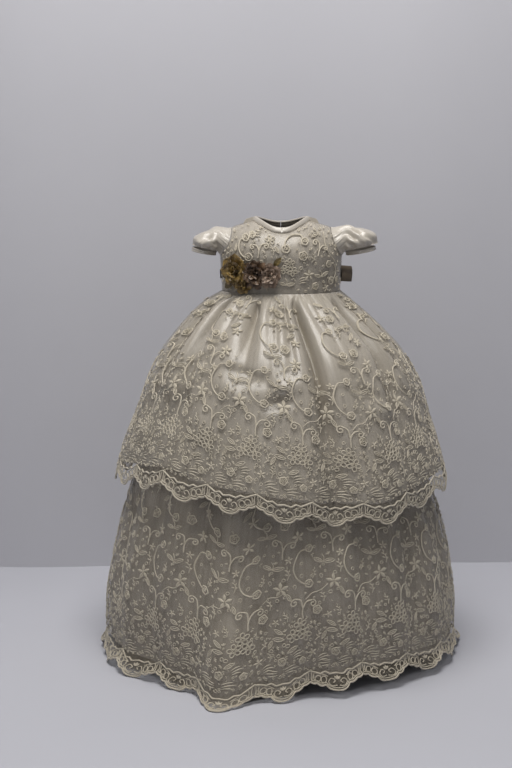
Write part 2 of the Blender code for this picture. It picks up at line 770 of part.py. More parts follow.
def make_roses(kit):
    axis, collection = kit
    for name, x, z, radius, petals, colour in ROSES:
        body = bmesh.new()
        bmesh.ops.create_uvsphere(body, u_segments=2 * petals, v_segments=6, radius=1.0)
        for vert in body.verts:
            flat = Vector((vert.co.x, vert.co.y))
            turn = flat.angle_signed(Vector((1, 0)), 0.0) if flat.length > 0.01 else 0.0
            ruffle = 0.90 + 0.10 * cos(petals * turn + 2.5 * vert.co.z)
            height = vert.co.z * (0.72 if vert.co.z > 0 else 0.18)
            vert.co = Vector((flat.x * ruffle, flat.y * ruffle, height)) * radius
        mesh = bpy.data.meshes.new(name)
        body.to_mesh(mesh)
        body.free()
        spot, out = front_frame(x, z)
        piece = place(name, mesh, axis, collection, colour, 0.5)
        piece.rotation_mode = "QUATERNION"
        piece.rotation_quaternion = out.to_track_quat("Z", "Y")
        piece.location = spot + out * (LACE_WALL + SEAM_GAP + 0.0012 + radius * 0.18)


def make_leaves(kit):
    for name, x, z, heading, length in LEAVES:
        turn = radians(heading)
        along = Vector((cos(turn), sin(turn)))
        rows = []
        for share, half in ((0.0, 0.16), (0.45, 0.30), (1.0, 0.12)):
            row = []
            for edge in (-1, 0, 1):
                px = x + along.x * length * share - along.y * half * length * edge
                pz = z + along.y * length * share + along.x * half * length * edge
                spot, out = front_frame(px, pz)
                row.append(spot + out * (0.0034 + (0.0008 if edge == 0 else 0.0)))
            rows.append(row)
        loft(name, rows, False, RIBBON_WALL, kit, LEAF, 0.5)


def main():
    clear_scene()
    collection = bpy.data.collections.new("christening_gown")
    bpy.context.scene.collection.children.link(collection)
    axis = bpy.data.objects.new("gown_axis", None)
    axis.location = AXIS_PLACE
    collection.objects.link(axis)
    kit = (axis, collection)
    make_bodice(kit)
    make_neck_binding(kit)
    for side in (-1, 1):
        make_sleeve(side, kit)
        make_sash(side, kit)
    make_bow(kit)
    make_buttons(kit)
    make_roses(kit)
    make_leaves(kit)
    make_upper_tier(kit)
    make_under_skirt(kit)
    make_flounce(kit)


main()
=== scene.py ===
"""Looks of the christening gown on its CAD frame: fine cloth, embroidered net and corsage.

Metres, +Z up, front towards -Y. Cloth surfaces are worked out around the gown's own
upright axis and then moved to AXIS. Bearings are degrees from +X towards +Y, so 270 is
the centre front. A flounce or tier is read as point(bearing, run), where run is the
distance up the cloth from the foot of its scallops; embroidery is drawn in millimetres
on the flat lace and laid on that surface.
"""
import random
from math import atan2, cos, hypot, pi, radians, sin

import bpy
import numpy as np
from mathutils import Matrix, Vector


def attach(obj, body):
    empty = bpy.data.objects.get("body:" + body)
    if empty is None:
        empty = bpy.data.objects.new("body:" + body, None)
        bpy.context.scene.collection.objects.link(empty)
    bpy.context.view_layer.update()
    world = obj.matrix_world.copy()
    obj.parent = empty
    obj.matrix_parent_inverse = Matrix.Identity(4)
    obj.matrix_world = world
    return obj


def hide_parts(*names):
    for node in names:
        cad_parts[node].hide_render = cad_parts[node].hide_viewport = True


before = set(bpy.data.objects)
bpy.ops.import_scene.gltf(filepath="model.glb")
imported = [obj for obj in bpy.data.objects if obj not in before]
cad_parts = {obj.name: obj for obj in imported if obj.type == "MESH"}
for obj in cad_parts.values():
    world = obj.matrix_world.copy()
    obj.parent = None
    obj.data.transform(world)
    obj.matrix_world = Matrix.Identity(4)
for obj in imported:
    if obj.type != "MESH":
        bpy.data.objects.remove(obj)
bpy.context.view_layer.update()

AXIS = np.array((0.002, 0.017, 0.0))
WAIST_Z, CHEST_Z, SHOULDER_Z, NECK_Z = 0.600, 0.655, 0.702, 0.713
FRONT_NECK_Z, BACK_NECK_Z, UNDERARM_Z = 0.697, 0.704, 0.657
HALF_WIDTH, HALF_DEPTH, WAIST_EASE = 0.0985, 0.078, 0.003
SHOULDER_TIP, NECK_POINT = 36.0, 64.0
SCALLOPS = 20
BORDER_DROP = 0.034
FLOUNCE_TOP_Z = 0.385

# Satin of the upper tier: height, half width, half depth, how far it leans to +X.
UPPER_PROFILE = (
    (0.255, 0.2695, 0.260, 0.001), (0.302, 0.2675, 0.258, 0.001),
    (0.353, 0.2545, 0.245, 0.002), (0.400, 0.2380, 0.228, 0.003),
    (0.454, 0.2210, 0.208, 0.004), (0.505, 0.1950, 0.180, 0.002),
    (0.535, 0.1715, 0.154, 0.000), (0.560, 0.1480, 0.129, -0.002),
    (0.582, 0.1230, 0.103, -0.003), (0.5997, 0.0965, 0.0765, 0.000),
)
# Under skirt: height, half width, half depth.
UNDER_PROFILE = (
    (0.000, 0.288, 0.264), (0.100, 0.288, 0.266), (0.200, 0.270, 0.254),
    (0.270, 0.249, 0.236), (0.400, 0.204, 0.192), (0.500, 0.152, 0.138),
    (0.560, 0.112, 0.094), (0.5997, 0.0930, 0.0730),
)
# Hem of the upper tier: bearing, height of the scallops, how far the hem stands out.
UPPER_HEM = (
    (0, 0.285, 0.000), (30, 0.280, 0.006), (62, 0.275, -0.004), (92, 0.281, 0.005),
    (120, 0.285, -0.006), (150, 0.279, 0.004), (182, 0.284, 0.002), (205, 0.296, -0.005),
    (224, 0.303, 0.004), (241, 0.291, -0.003), (258, 0.284, 0.006), (277, 0.270, 0.002),
    (290, 0.263, -0.005), (304, 0.262, 0.006), (322, 0.272, -0.003), (340, 0.282, 0.003),
)
# Foot of the lower tier: bearing, reach and height of the satin's hem, spread of the
# lace border past it, height of the border's scallops.
FOOT_HEM = (
    (8, 0.286, 0.012, 0.014, 0.004), (30, 0.281, 0.000, 0.018, 0.000),
    (62, 0.268, 0.000, 0.024, 0.000), (90, 0.259, 0.000, 0.028, 0.000),
    (118, 0.272, 0.000, 0.022, 0.000), (148, 0.281, 0.000, 0.018, 0.000),
    (172, 0.287, 0.010, 0.012, 0.000), (190, 0.285, 0.024, 0.010, 0.000),
    (208, 0.281, 0.028, 0.018, 0.000), (224, 0.268, 0.024, 0.016, 0.000),
    (238, 0.274, 0.006, 0.014, 0.000), (252, 0.306, 0.000, 0.024, 0.000),
    (267, 0.268, 0.010, 0.016, 0.000), (280, 0.258, 0.026, 0.010, 0.008),
    (293, 0.262, 0.034, 0.010, 0.013), (308, 0.266, 0.034, 0.011, 0.013),
    (324, 0.276, 0.030, 0.012, 0.011), (340, 0.284, 0.024, 0.010, 0.008),
    (354, 0.287, 0.018, 0.008, 0.005),
)
# Soft folds of the under skirt and the flounce over it: bearing, depth, half width.
LOWER_FOLDS = (
    (22, 0.010, 8.0), (49, 0.013, 8.0), (76, 0.010, 7.0), (104, 0.012, 8.0),
    (133, 0.011, 8.0), (166, 0.009, 9.0), (199, 0.008, 7.0), (219, 0.010, 7.0),
    (240, 0.013, 6.5), (263, 0.014, 6.5), (281, 0.009, 6.0), (300, 0.010, 7.0),
    (321, 0.011, 7.0), (343, 0.009, 7.0),
)


# ---- tables and curves -------------------------------------------------------
def smooth(table, at, column):
    """A column's value on a smooth curve through the rows of a sorted table."""
    rows = np.asarray(table, float)
    x, v = rows[:, 0], rows[:, column]
    at = np.clip(np.asarray(at, float), x[0], x[-1])
    low = np.clip(np.searchsorted(x, at, side="right") - 1, 0, len(x) - 2)
    index = np.arange(len(x))
    before, after = np.maximum(index - 1, 0), np.minimum(index + 1, len(x) - 1)
    slope = (v[after] - v[before]) / (x[after] - x[before])
    step = x[low + 1] - x[low]
    t = (at - x[low]) / step
    return (
        v[low] * (1 + 2 * t) * (1 - t) ** 2 + v[low + 1] * (3 - 2 * t) * t ** 2
        + step * t * (1 - t) * (slope[low] * (1 - t) - slope[low + 1] * t)
    )


def around(table, bearing, column):
    """The same for a table of bearings, which closes on itself."""
    turned = [(row[0] + turn,) + tuple(row[1:]) for turn in (-360, 0, 360) for row in table]
    return smooth(turned, np.asarray(bearing, float) % 360, column)


def ease(share):
    """Runs from 0 to 1 with soft ends."""
    share = np.clip(share, 0.0, 1.0)
    return share * share * (3 - 2 * share)


def mix(start, end, share):
    return start + (end - start) * share


def apart(bearing, other):
    """Signed angle between two bearings, from -180 to 180."""
    return (bearing - other + 180) % 360 - 180


def oval(half_width, half_depth, bearing):
    """Distance from the middle of an ellipse to its edge."""
    turn = np.radians(bearing)
    return half_width * half_depth / np.hypot(half_depth * np.cos(turn), half_width * np.sin(turn))


def on_bearing(bearing, reach, z, lean=0.0):
    turn = np.radians(bearing)
    parts = np.broadcast_arrays(reach * np.cos(turn) + lean, reach * np.sin(turn), z)
    return np.stack(parts, axis=-1)


# ---- skirt surfaces ----------------------------------------------------------
# Creases of the upper tier's satin: bearing at the waist and at the hem, depth, half
# width at the waist and at the hem in degrees, and the height where it has run out.
UPPER_FOLDS = (
    (8, 10, 0.012, 4.5, 6.0, 0.34), (27, 24, 0.009, 4.0, 5.5, 0.42),
    (47, 50, 0.013, 4.5, 6.0, 0.28), (66, 68, 0.009, 3.5, 5.0, 0.44),
    (84, 82, 0.012, 4.0, 5.5, 0.36), (103, 106, 0.009, 3.5, 5.0, 0.45),
    (122, 120, 0.014, 4.5, 6.0, 0.26), (143, 146, 0.009, 4.0, 5.5, 0.42),
    (163, 161, 0.012, 4.5, 6.0, 0.34), (184, 186, 0.008, 4.0, 5.5, 0.44),
    (200, 206, 0.011, 4.0, 6.0, 0.36), (216, 227, 0.014, 3.2, 5.0, 0.36),
    (232, 240, 0.004, 2.0, 4.0, 0.50), (247, 259, 0.015, 4.6, 6.0, 0.46),
    (266, 267, 0.009, 2.2, 3.2, 0.49), (274, 277, 0.007, 1.7, 2.6, 0.46),
    (284, 289, 0.019, 3.8, 4.2, 0.20), (296, 297, 0.004, 2.2, 4.0, 0.50),
    (322, 316, 0.008, 2.0, 3.2, 0.51), (329, 314, 0.015, 3.8, 5.6, 0.36),
    (340, 333, 0.009, 2.4, 3.6, 0.43), (354, 346, 0.010, 3.6, 5.0, 0.42),
)
# Soft dents (+) and swells (-): bearing, height, half width, half height, depth, and how
# many degrees the dent drifts for each metre down.
DENTS = (
    (267.0, 0.447, 5.0, 0.010, 0.0095, -150), (271.0, 0.471, 6.0, 0.013, -0.0060, -150),
    (252.0, 0.484, 6.5, 0.011, 0.0080, 420), (246.0, 0.462, 5.0, 0.016, -0.0040, 300),
    (308.0, 0.452, 5.0, 0.013, 0.0065, 300), (314.0, 0.427, 4.5, 0.014, -0.0055, 200),
    (237.0, 0.410, 4.0, 0.030, -0.0045, 60), (297.0, 0.400, 6.0, 0.030, -0.0045, 0),
    (333.0, 0.440, 5.0, 0.016, 0.0060, 250), (226.0, 0.505, 4.0, 0.012, 0.0050, 300),
    (30.0, 0.450, 6.0, 0.014, 0.0070, 200), (58.0, 0.480, 6.0, 0.013, 0.0070, -250),
    (94.0, 0.445, 6.0, 0.012, 0.0080, 200), (133.0, 0.470, 6.0, 0.014, 0.0070, -220),
    (171.0, 0.450, 6.0, 0.013, 0.0070, 240), (76.0, 0.420, 5.0, 0.020, -0.0050, 0),
)
GATHER_COUNTS = ((61, 0.0020, 0.030, 1.3), (37, 0.0036, 0.075, 4.1))


def ripple(bearing, count, seed):
    """Gathers: round ridges with sharp valleys, unevenly spaced and of uneven depth."""
    turn = np.radians(bearing)
    drift = (
        1.1 * np.sin(3 * turn + seed) + 0.9 * np.sin(7 * turn + 2.3 * seed)
        + 0.6 * np.sin(13 * turn + 0.7 * seed)
    )
    strength = 0.62 + 0.38 * np.sin(5 * turn + 1.9 * seed) * np.sin(11 * turn + seed)
    return strength * (1 - np.abs(np.cos((count * turn + drift) / 2))) ** 1.25


def wander(bearing, z, seed, scale):
    """Low unevenness of cloth, about -1 to 1, that closes on itself round the gown."""
    turn = np.radians(bearing)
    total = 0.0
    for k, (across, along, size) in enumerate(((5, 9, 0.45), (9, 17, 0.30), (16, 31, 0.16), (27, 52, 0.09))):
        phase = seed * (k + 1.7)
        total = total + size * np.sin(across * turn + phase + 1.6 * np.sin(along * scale * z + phase))
        total = total + size * 0.6 * np.sin(across * turn * 1.0 - along * scale * z * 1.3 + 2 * phase)
    return total


def creases(bearing, z, widen):
    depth = 0.0
    for top, low, deep, wide_top, wide_low, end_z in UPPER_FOLDS:
        share = (WAIST_Z - z) / (WAIST_Z - 0.28)
        centre = top + apart(low, top) * share
        half = mix(wide_top, wide_low, np.clip(share, 0, 1)) * widen
        fade = ease((z - end_z) / 0.12) * ease((WAIST_Z - z) / 0.030)
        depth = depth + deep * fade * np.exp(-np.abs(apart(bearing, centre) / half) ** 1.7)
    return depth


def dents(bearing, z):
    depth = 0.0
    for centre, height, half, tall, deep, drift in DENTS:
        middle = centre + (height - z) * drift
        away = (apart(bearing, middle) / half) ** 2 + ((z - height) / tall) ** 2
        depth = depth + deep * np.exp(-away)
    return depth


def upper_plain(bearing, z):
    plain = oval(smooth(UPPER_PROFILE, z, 1), smooth(UPPER_PROFILE, z, 2), bearing)
    return plain + around(UPPER_HEM, bearing, 2) * ease((0.50 - z) / 0.24)


def recess(bearing, z):
    """On the left the satin falls in behind the lace, from a near upright fold."""
    edge = 228.0 + 74.0 * (0.436 - z)
    inside = ease((edge - bearing) / 3.5) * ease((bearing - 190.0) / 14.0)
    return mix(0.013, 0.019, ease((z - 0.30) / 0.10)) * inside * ease((0.462 - z) / 0.035)


def upper_satin_reach(bearing, z):
    down = WAIST_Z - z
    deepen = mix(1.75, 1.15, ease((down - 0.05) / 0.10))
    reach = upper_plain(bearing, z) - deepen * creases(bearing, z, 0.92) - 1.2 * dents(bearing, z)
    for count, deep, length, seed in GATHER_COUNTS:
        reach = reach - deep * ripple(bearing, count, seed) * ease(down / 0.004) * ease(1 - down / length)
    long_ones = 0.0085 * ripple(bearing, 27, 2.6) * ease(down / 0.025) * ease(1 - down / 0.19)
    reach = reach - long_ones - recess(bearing, z) + 0.0016 * wander(bearing, z, 1.0, 1.0) * ease(down / 0.10)
    return np.maximum(reach, under_plain(bearing, z) + 0.0035)


def upper_lace_reach(bearing, z):
    down = WAIST_Z - z
    stand = mix(0.0016, 0.0042, ease(down / 0.15))
    soft = creases(bearing, z, 1.10) * mix(1.50, 0.70, ease((down - 0.03) / 0.12)) + 0.6 * dents(bearing, z)
    reach = upper_plain(bearing, z) - soft + stand
    reach = reach + 0.0014 * wander(bearing, z, 4.0, 1.4) * ease(down / 0.12)
    return np.maximum(reach, upper_satin_reach(bearing, z) + mix(0.0010, 0.0016, ease(down / 0.05)))


def upper_at(bearing, z, reach):
    return on_bearing(bearing, reach, z, smooth(UPPER_PROFILE, z, 3))


def lower_fold(bearing, z):
    depth = 0.0
    for centre, deep, half_width in LOWER_FOLDS:
        depth = depth + deep * np.exp(-np.abs(apart(bearing, centre) / half_width) ** 1.8)
    return 1.25 * depth * ease((0.45 - z) / 0.25) * mix(0.5, 1.0, ease(z / 0.15))


def under_plain(bearing, z):
    plain = oval(smooth(UNDER_PROFILE, z, 1), smooth(UNDER_PROFILE, z, 2), bearing)
    spread = around(FOOT_HEM, bearing, 1) - oval(UNDER_PROFILE[0][1], UNDER_PROFILE[0][2], bearing)
    return plain + spread * ease((0.24 - z) / 0.24) ** 1.5


def under_reach(bearing, z):
    """Outer face of the under skirt's satin."""
    reach = under_plain(bearing, z) - lower_fold(bearing, z)
    reach = reach - 0.0040 * ripple(bearing, 23, 5.2) * ease((0.50 - z) / 0.20) * ease((z + 0.02) / 0.12)
    return reach + 0.0020 * wander(bearing, z, 2.2, 0.9) * ease((0.55 - z) / 0.15)


def flounce_reach(bearing, z):
    stand = mix(0.0025, 0.0060, ease((FLOUNCE_TOP_Z - z) / 0.1))
    reach = under_plain(bearing, z) - 0.80 * lower_fold(bearing, z) + stand - 0.0012
    reach = reach - 0.0048 * ripple(bearing, 37, 0.9) * ease((0.40 - z) / 0.06) * ease((z - 0.04) / 0.2)
    reach = reach + 0.0018 * wander(bearing, z, 3.1, 1.1)
    return np.maximum(reach, under_reach(bearing, z) + 0.0018)


def foot_height(bearing):
    """Height of the under skirt's hem."""
    return np.maximum(around(FOOT_HEM, bearing, 2), 0.0)


# Outline of a scallop: share of the way from its foot to the notch, height in mm.
SCALLOP_EDGE = (
    (0.00, 0.0), (0.10, 0.4), (0.19, 1.3), (0.28, 3.0), (0.35, 5.6), (0.40, 8.4),
    (0.435, 9.4), (0.50, 8.8), (0.58, 9.0), (0.66, 10.6), (0.72, 13.4), (0.755, 14.6),
    (0.81, 14.2), (0.88, 14.9), (0.94, 16.2), (1.00, 18.4),
)


def edge_run(bearing):
    """Run from the foot of the scallops up to the cut edge."""
    step = 180.0 / SCALLOPS
    share = np.abs(apart(np.asarray(bearing) * 1.0,
        np.round(np.asarray(bearing) / (2 * step)) * 2 * step)) / step
    return np.interp(share, [row[0] for row in SCALLOP_EDGE], [row[1] * 0.001 for row in SCALLOP_EDGE])


class Surface:
    """Cloth as a fine grid, rows of rising run and columns of rising turn, read anywhere."""

    def __init__(self, points, turn_start, turn_step, run_step, closed):
        self.points, self.closed = points, closed
        self.start = np.array((turn_start, 0.0))
        self.step = np.array((turn_step, run_step))
        if closed:
            across = np.roll(points, -1, 1) - np.roll(points, 1, 1)
        else:
            across = np.gradient(points, axis=1)
        normal = np.cross(across, np.gradient(points, axis=0))
        self.normals = normal / np.maximum(np.linalg.norm(normal, axis=2, keepdims=True), 1e-12)

    def at(self, turn, run, lift=0.0):
        rows, columns = self.points.shape[:2]
        c = (np.asarray(turn, float) - self.start[0]) / self.step[0]
        r = np.clip(np.asarray(run, float) / self.step[1], 0, rows - 1.001)
        c = c % columns if self.closed else np.clip(c, 0, columns - 1.001)
        c, r = np.broadcast_arrays(c, r)
        c0, r0 = np.floor(c).astype(int), np.floor(r).astype(int)
        fc, fr = (c - c0)[..., None], (r - r0)[..., None]
        c0 = c0 % columns
        c1 = (c0 + 1) % columns
        result = []
        for grid in (self.points, self.normals):
            low = grid[r0, c0] * (1 - fc) + grid[r0, c1] * fc
            high = grid[r0 + 1, c0] * (1 - fc) + grid[r0 + 1, c1] * fc
            result.append(low * (1 - fr) + high * fr)
        return result[0] + result[1] * np.asarray(lift, float)[..., None]


TURNS = 1080
RUN_STEP = 0.002
TIER_LOW_Z = 0.24  # just under the lowest point of the upper hem
NET_GRID = (560, 60)  # columns round and rows up each net


def tier_lengths():
    """Heights up the upper tier and the length of its cloth up to each."""
    z = np.linspace(TIER_LOW_Z, WAIST_Z - 0.0003, 400)
    wide = (smooth(UPPER_PROFILE, z, 1) + smooth(UPPER_PROFILE, z, 2)) / 2
    return z, np.concatenate(([0.0], np.cumsum(np.hypot(np.diff(z), np.diff(wide)))))


def upper_height(bearing, run):
    """Height up the tier at a run from the foot of the scallops."""
    z, length = tier_lengths()
    start = np.interp(around(UPPER_HEM, bearing, 1), z, length)
    return np.interp(start + run, length, z)


def upper_surface():
    turn = np.arange(TURNS) * 360 / TURNS
    run = np.arange(0, 0.420, RUN_STEP)
    bearing, along = np.meshgrid(turn, run)
    z = upper_height(bearing, along)
    return Surface(upper_at(bearing, z, upper_lace_reach(bearing, z)), 0.0, 360 / TURNS, RUN_STEP, True)


def flounce_surface():
    """The lower lace, from its border, hanging or lying on the table, up to its seam."""
    turn = np.arange(TURNS) * 360 / TURNS
    hem = foot_height(turn)
    bend_z = hem + 0.016
    lying = ease(1 - hem / 0.015)
    low = 0.0012 + np.maximum(around(FOOT_HEM, turn, 4), 0.0)
    foot = under_reach(turn, hem + 0.004) + 0.006
    out = foot + np.maximum(around(FOOT_HEM, turn, 3), 0.0)
    steps = np.linspace(0, 1, 60)[:, None]
    z = mix(bend_z, FLOUNCE_TOP_Z, steps)
    body = np.stack((flounce_reach(turn, z), z))
    share = np.linspace(0, 1, 24)[:-1, None]
    start, end = np.stack((out, low)), body[:, 0]
    slope = body[:, 0] - body[:, 2]
    slope = slope / np.linalg.norm(slope, axis=0)
    handle = np.hypot(*(end - start)) * 0.45
    into = np.stack((mix(-0.10, -0.95, lying), mix(0.99, 0.30, lying)))
    first, second = start + into * handle, end + slope * handle
    second[1] = np.maximum(second[1], low)
    first[1] = np.maximum(first[1], low + 0.0002)
    bow = (
        start[:, None] * (1 - share) ** 3 + first[:, None] * 3 * share * (1 - share) ** 2
        + second[:, None] * 3 * share ** 2 * (1 - share) + end[:, None] * share ** 3
    )
    path = np.concatenate((bow, body), axis=1)
    flutter = 0.0022 * np.sin(np.radians(turn) * 43 + 2 * np.sin(np.radians(turn) * 6))
    fade = np.concatenate((1 - share[:, 0], np.zeros(60)))
    path[0] += (flutter * (1 - lying))[None] * fade[:, None]
    length = np.concatenate((np.zeros((1, TURNS)), np.cumsum(np.hypot(*np.diff(path, axis=1)), axis=0)))
    run = np.arange(0, 0.440, RUN_STEP)
    reach, height = np.empty((len(run), TURNS)), np.empty((len(run), TURNS))
    for c in range(TURNS):
        reach[:, c] = np.interp(run, length[:, c], path[0][:, c])
        height[:, c] = np.interp(run, length[:, c], path[1][:, c])
    tops = length[-1]
    return Surface(on_bearing(turn, reach, height), 0.0, 360 / TURNS, RUN_STEP, True), tops


# ---- embroidery drawn flat, in millimetres -------------------------------------
def arc(x, y, radius, start, end, flat=1.0, points=0):
    count = points or max(5, int(abs(end - start) / 30) + 1)
    turn = np.radians(np.linspace(start, end, count))
    return np.stack((x + radius * np.cos(turn), y + radius * flat * np.sin(turn)), axis=1)


def curve(points, per_span=5):
    """A smooth line through a few places."""
    places = np.asarray(points, float)
    padded = np.vstack((2 * places[0] - places[1], places, 2 * places[-1] - places[-2]))
    share = np.linspace(0, 1, per_span, endpoint=False)[:, None]
    line = []
    for k in range(1, len(padded) - 2):
        a, b, c, d = padded[k - 1:k + 3]
        line.append(0.5 * (
            2 * b + (c - a) * share + (2 * a - 5 * b + 4 * c - d) * share ** 2
            + (3 * b - a - 3 * c + d) * share ** 3
        ))
    return np.vstack(line + [places[-1:]])


def turned(line, angle, x=0.0, y=0.0, flip=False):
    line = np.array(line, float)
    if flip:
        line[:, 0] *= -1
    c, s = cos(radians(angle)), sin(radians(angle))
    return line @ np.array(((c, s), (-s, c))) + np.array((x, y))


def spiral(x, y, outer, inner, start, turns, points=0):
    count = points or max(7, int(abs(turns) * 12))
    share = np.linspace(0, 1, count)
    turn = np.radians(start + 360 * turns * share)
    radius = mix(outer, inner, share)
    return np.stack((x + radius * np.cos(turn), y + radius * np.sin(turn)), axis=1)


CORD, FINE = 2.4, 1.5          # widths of the couched cord and of the fine thread


def rosette(size):
    """Little cord rose that ends a scroll."""
    turn = np.linspace(0, 2 * pi, 16, endpoint=False)
    radius = size * (1 + 0.09 * np.cos(5 * turn))
    ring = np.stack((radius * np.cos(turn), radius * np.sin(turn)), axis=1)
    return [(ring, CORD, 1.0, True), (spiral(0, 0, size * 0.56, size * 0.10, 40, 1.35), 1.6, 1.2, False)]


def c_scroll(tall, deep):
    half = tall / 2
    back = curve(((-1, half - 1), (-deep * 0.62, half * 0.82), (-deep, half * 0.1),
                  (-deep * 0.80, -half * 0.52), (-deep * 0.30, -half * 0.92), (1, -half)))
    strokes = [(back, CORD, 1.0, False)]
    for y, size in ((half, 5.2), (-half, 5.6)):
        strokes += [(line + np.array((4.0, y)), w, h, ring) for line, w, h, ring in rosette(size)]
    return strokes


def open_flower(size):
    """Flower of five corded petals round a ring."""
    strokes = []
    for k in range(5):
        petal = arc(0, 0, size * 0.36, 0, 360, 0.86, 11)[:-1] + np.array((size * 0.64, 0))
        strokes.append((turned(petal, 90 + 72 * k), 1.7, 0.9, True))
    strokes.append((arc(0, 0, size * 0.20, 0, 360, 1.0, 8)[:-1], 1.5, 1.3, True))
    return strokes


def cluster():
    strokes = []
    for x, y, angle, size in ((-9.5, -3.0, 10, 10.0), (8.5, -6.0, 40, 10.0), (1.5, 10.0, 0, 10.0)):
        strokes += [(turned(line, angle, x, y), w, h, ring) for line, w, h, ring in open_flower(size)]
    return strokes


def rose(size):
    turn = np.linspace(0, 2 * pi, 20, endpoint=False)
    outer = size * (1 + 0.11 * np.cos(5 * turn))
    inner = size * 0.56 * (1 + 0.10 * np.cos(5 * turn + pi))
    rings = [np.stack((r * np.cos(turn), r * np.sin(turn)), axis=1) for r in (outer, inner)]
    return [
        (rings[0], CORD, 1.0, True), (rings[1][::2], 1.5, 1.2, True),
        (spiral(0, 0, size * 0.26, 0.3, 0, 1.0), 1.5, 1.4, False),
    ]


def filled(length, width, bend=0.0):
    """Satin-stitched petal or leaf from the middle outwards: its line and its widths."""
    share = np.linspace(0, 1, 6)
    line = np.stack((length * share, bend * np.sin(pi * share)), axis=1)
    return line, width * np.array((0.25, 0.72, 1.0, 0.96, 0.62, 0.12))


def solid_flower(size):
    strokes = []
    for k in range(5):
        line, widths = filled(size * 0.86, size * 0.46)
        strokes.append((turned(line + np.array((size * 0.14, 0)), 90 + 72 * k), widths, 0.8, False))
    strokes.append((arc(0, 0, size * 0.13, 0, 360, 1.0, 7)[:-1], 1.2, 1.3, True))
    return strokes


def leaf(length, width=0.0):
    """Corded leaf with a filled heart."""
    wide = width or length * 0.30
    side = curve(((0, 0), (length * 0.35, wide * 0.5), (length * 0.75, wide * 0.42), (length, 0)), 4)
    heart, widths = filled(length * 0.72, wide * 0.40)
    return [
        (side, 1.5, 0.9, False), (side * np.array((1, -1)), 1.5, 0.9, False),
        (heart + np.array((length * 0.12, 0)), widths, 0.7, False),
    ]


def leaf_pair(length):
    strokes = []
    for angle, size in ((8, 1.0), (150, 0.85)):
        strokes += [(turned(line, angle), w, h, ring) for line, w, h, ring in leaf(length * size)]
    strokes.append((curve(((0, 0), (2, 6), (-1, 12)), 4), FINE, 0.8, False))
    return strokes


def heart(size):
    """A stem that parts into two curls."""
    right = curve(((0, -size), (0.5, -size * 0.35), (size * 0.32, size * 0.12), (size * 0.75, size * 0.20)))
    curl_r = spiral(size * 0.78, -size * 0.06, size * 0.27, size * 0.07, 95, -1.15)
    left = curve(((0.5, -size * 0.35), (-size * 0.10, size * 0.30), (-size * 0.52, size * 0.55)))
    curl_l = spiral(-size * 0.58, size * 0.26, size * 0.30, size * 0.07, 80, 1.15)
    return [(right, CORD, 1.0, False), (curl_r, CORD, 1.0, False), (left, CORD, 1.0, False),
        (curl_l, CORD, 1.0, False)]


def stem(*places):
    return [(curve(places), FINE, 0.8, False)]


def spray(length):
    """Long thin leaves, side by side like grass."""
    strokes = []
    for y, angle, size in ((0, 0, 1.0), (3.4, 7, 0.8), (-3.2, -5, 0.75)):
        line, widths = filled(length * size, 1.9, 1.2)
        strokes.append((turned(line + np.array((0, y)), angle), widths, 0.7, False))
    return strokes


def sprig(size):
    strokes = [(curve(((0, 0), (size * 0.2, size * 0.5), (0, size))), FINE, 0.7, False)]
    for y, angle in ((0.30, 30), (0.45, 150), (0.66, 40), (0.82, 140), (1.0, 90)):
        line, widths = filled(size * 0.34, size * 0.15)
        strokes.append((turned(line, angle, size * 0.1, size * y), widths, 0.7, False))
    return strokes


def ringlet(size):
    return [(arc(0, 0, size, 0, 360, 0.85, 9)[:-1], 1.3, 0.9, True)]


def curl(size):
    return [(spiral(0, 0, size * 1.25, size * 0.2, 0, 1.15, 9), 1.3, 0.9, False)]


def bud(size):
    strokes = []
    for angle in (40, 90, 140):
        line, widths = filled(size * 1.7, size * 0.8)
        strokes.append((turned(line[::2], angle, 0, -size * 0.6), widths[::2], 0.9, False))
    return strokes


def twig(size):
    strokes = [(curve(((-size, -size * 0.3), (0, size * 0.2), (size, 0)), 2), 1.1, 0.7, False)]
    for x, angle in ((-0.3, 60), (0.4, -50)):
        line, widths = filled(size * 1.1, size * 0.5)
        strokes.append((turned(line[::2], angle, x * size, 0), widths[::2], 0.8, False))
    return strokes


def border():
    """One scallop of the edging: double outline, inner wave, scrolls and rings between."""
    share = np.linspace(-1, 1, 57)
    across = share * HALF_REPEAT
    height = np.interp(np.abs(share), [row[0] for row in SCALLOP_EDGE], [row[1] for row in SCALLOP_EDGE])
    outline = np.stack((across, height + 1.1), axis=1)
    second = np.stack((across * 0.97, height + 4.6 - 0.4 * np.abs(share)), axis=1)
    wave = np.interp(np.abs(share), (0, 0.25, 0.42, 0.60, 0.80, 1.0), (28.0, 26.0, 30.5, 28.5, 32.5, 36.0))
    inner = np.stack((across, wave), axis=1)
    strokes = [(outline, 3.2, 1.8, False), (second, 1.8, 1.2, False), (inner, 2.8, 1.4, False)]
    for side in (-1, 1):
        swirl = curve(((side * 1.5, 8.5), (side * 9, 8.0), (side * 13.5, 13.5), (side * 9, 19.0),
            (side * 3.8, 15.8), (side * 6.6, 12.4)))
        strokes.append((swirl, 1.7, 1.0, False))
        strokes.append((arc(side * 20.5, 18.5, 4.4, 0, 360, 1.15, 11)[:-1], 1.7, 1.0, True))
        strokes.append((arc(side * 29.5, 22.0, 4.6, 0, 360, 1.0, 11)[:-1], 1.7, 1.0, True))
        strokes.append((curve(((side * 14, 22), (side * 20, 26), (side * 27, 28))), 1.7, 0.9, False))
        strokes.append((curve(((side * 35.5, 19.5), (side * 36.5, 26), (side * 35.0, 33))), 1.7, 1.0, False))
        strokes.append((curve(((side * 39.8, 20.0), (side * 39.2, 27), (side * 40.4, 34))), 1.7, 1.0, False))
    line, widths = filled(7.0, 3.6)
    for angle in (50, 90, 130):
        strokes.append((turned(line, angle, 0, 17.5), widths, 0.8, False))
    return strokes


REPEAT = 84.5
HALF_REPEAT = REPEAT / 2

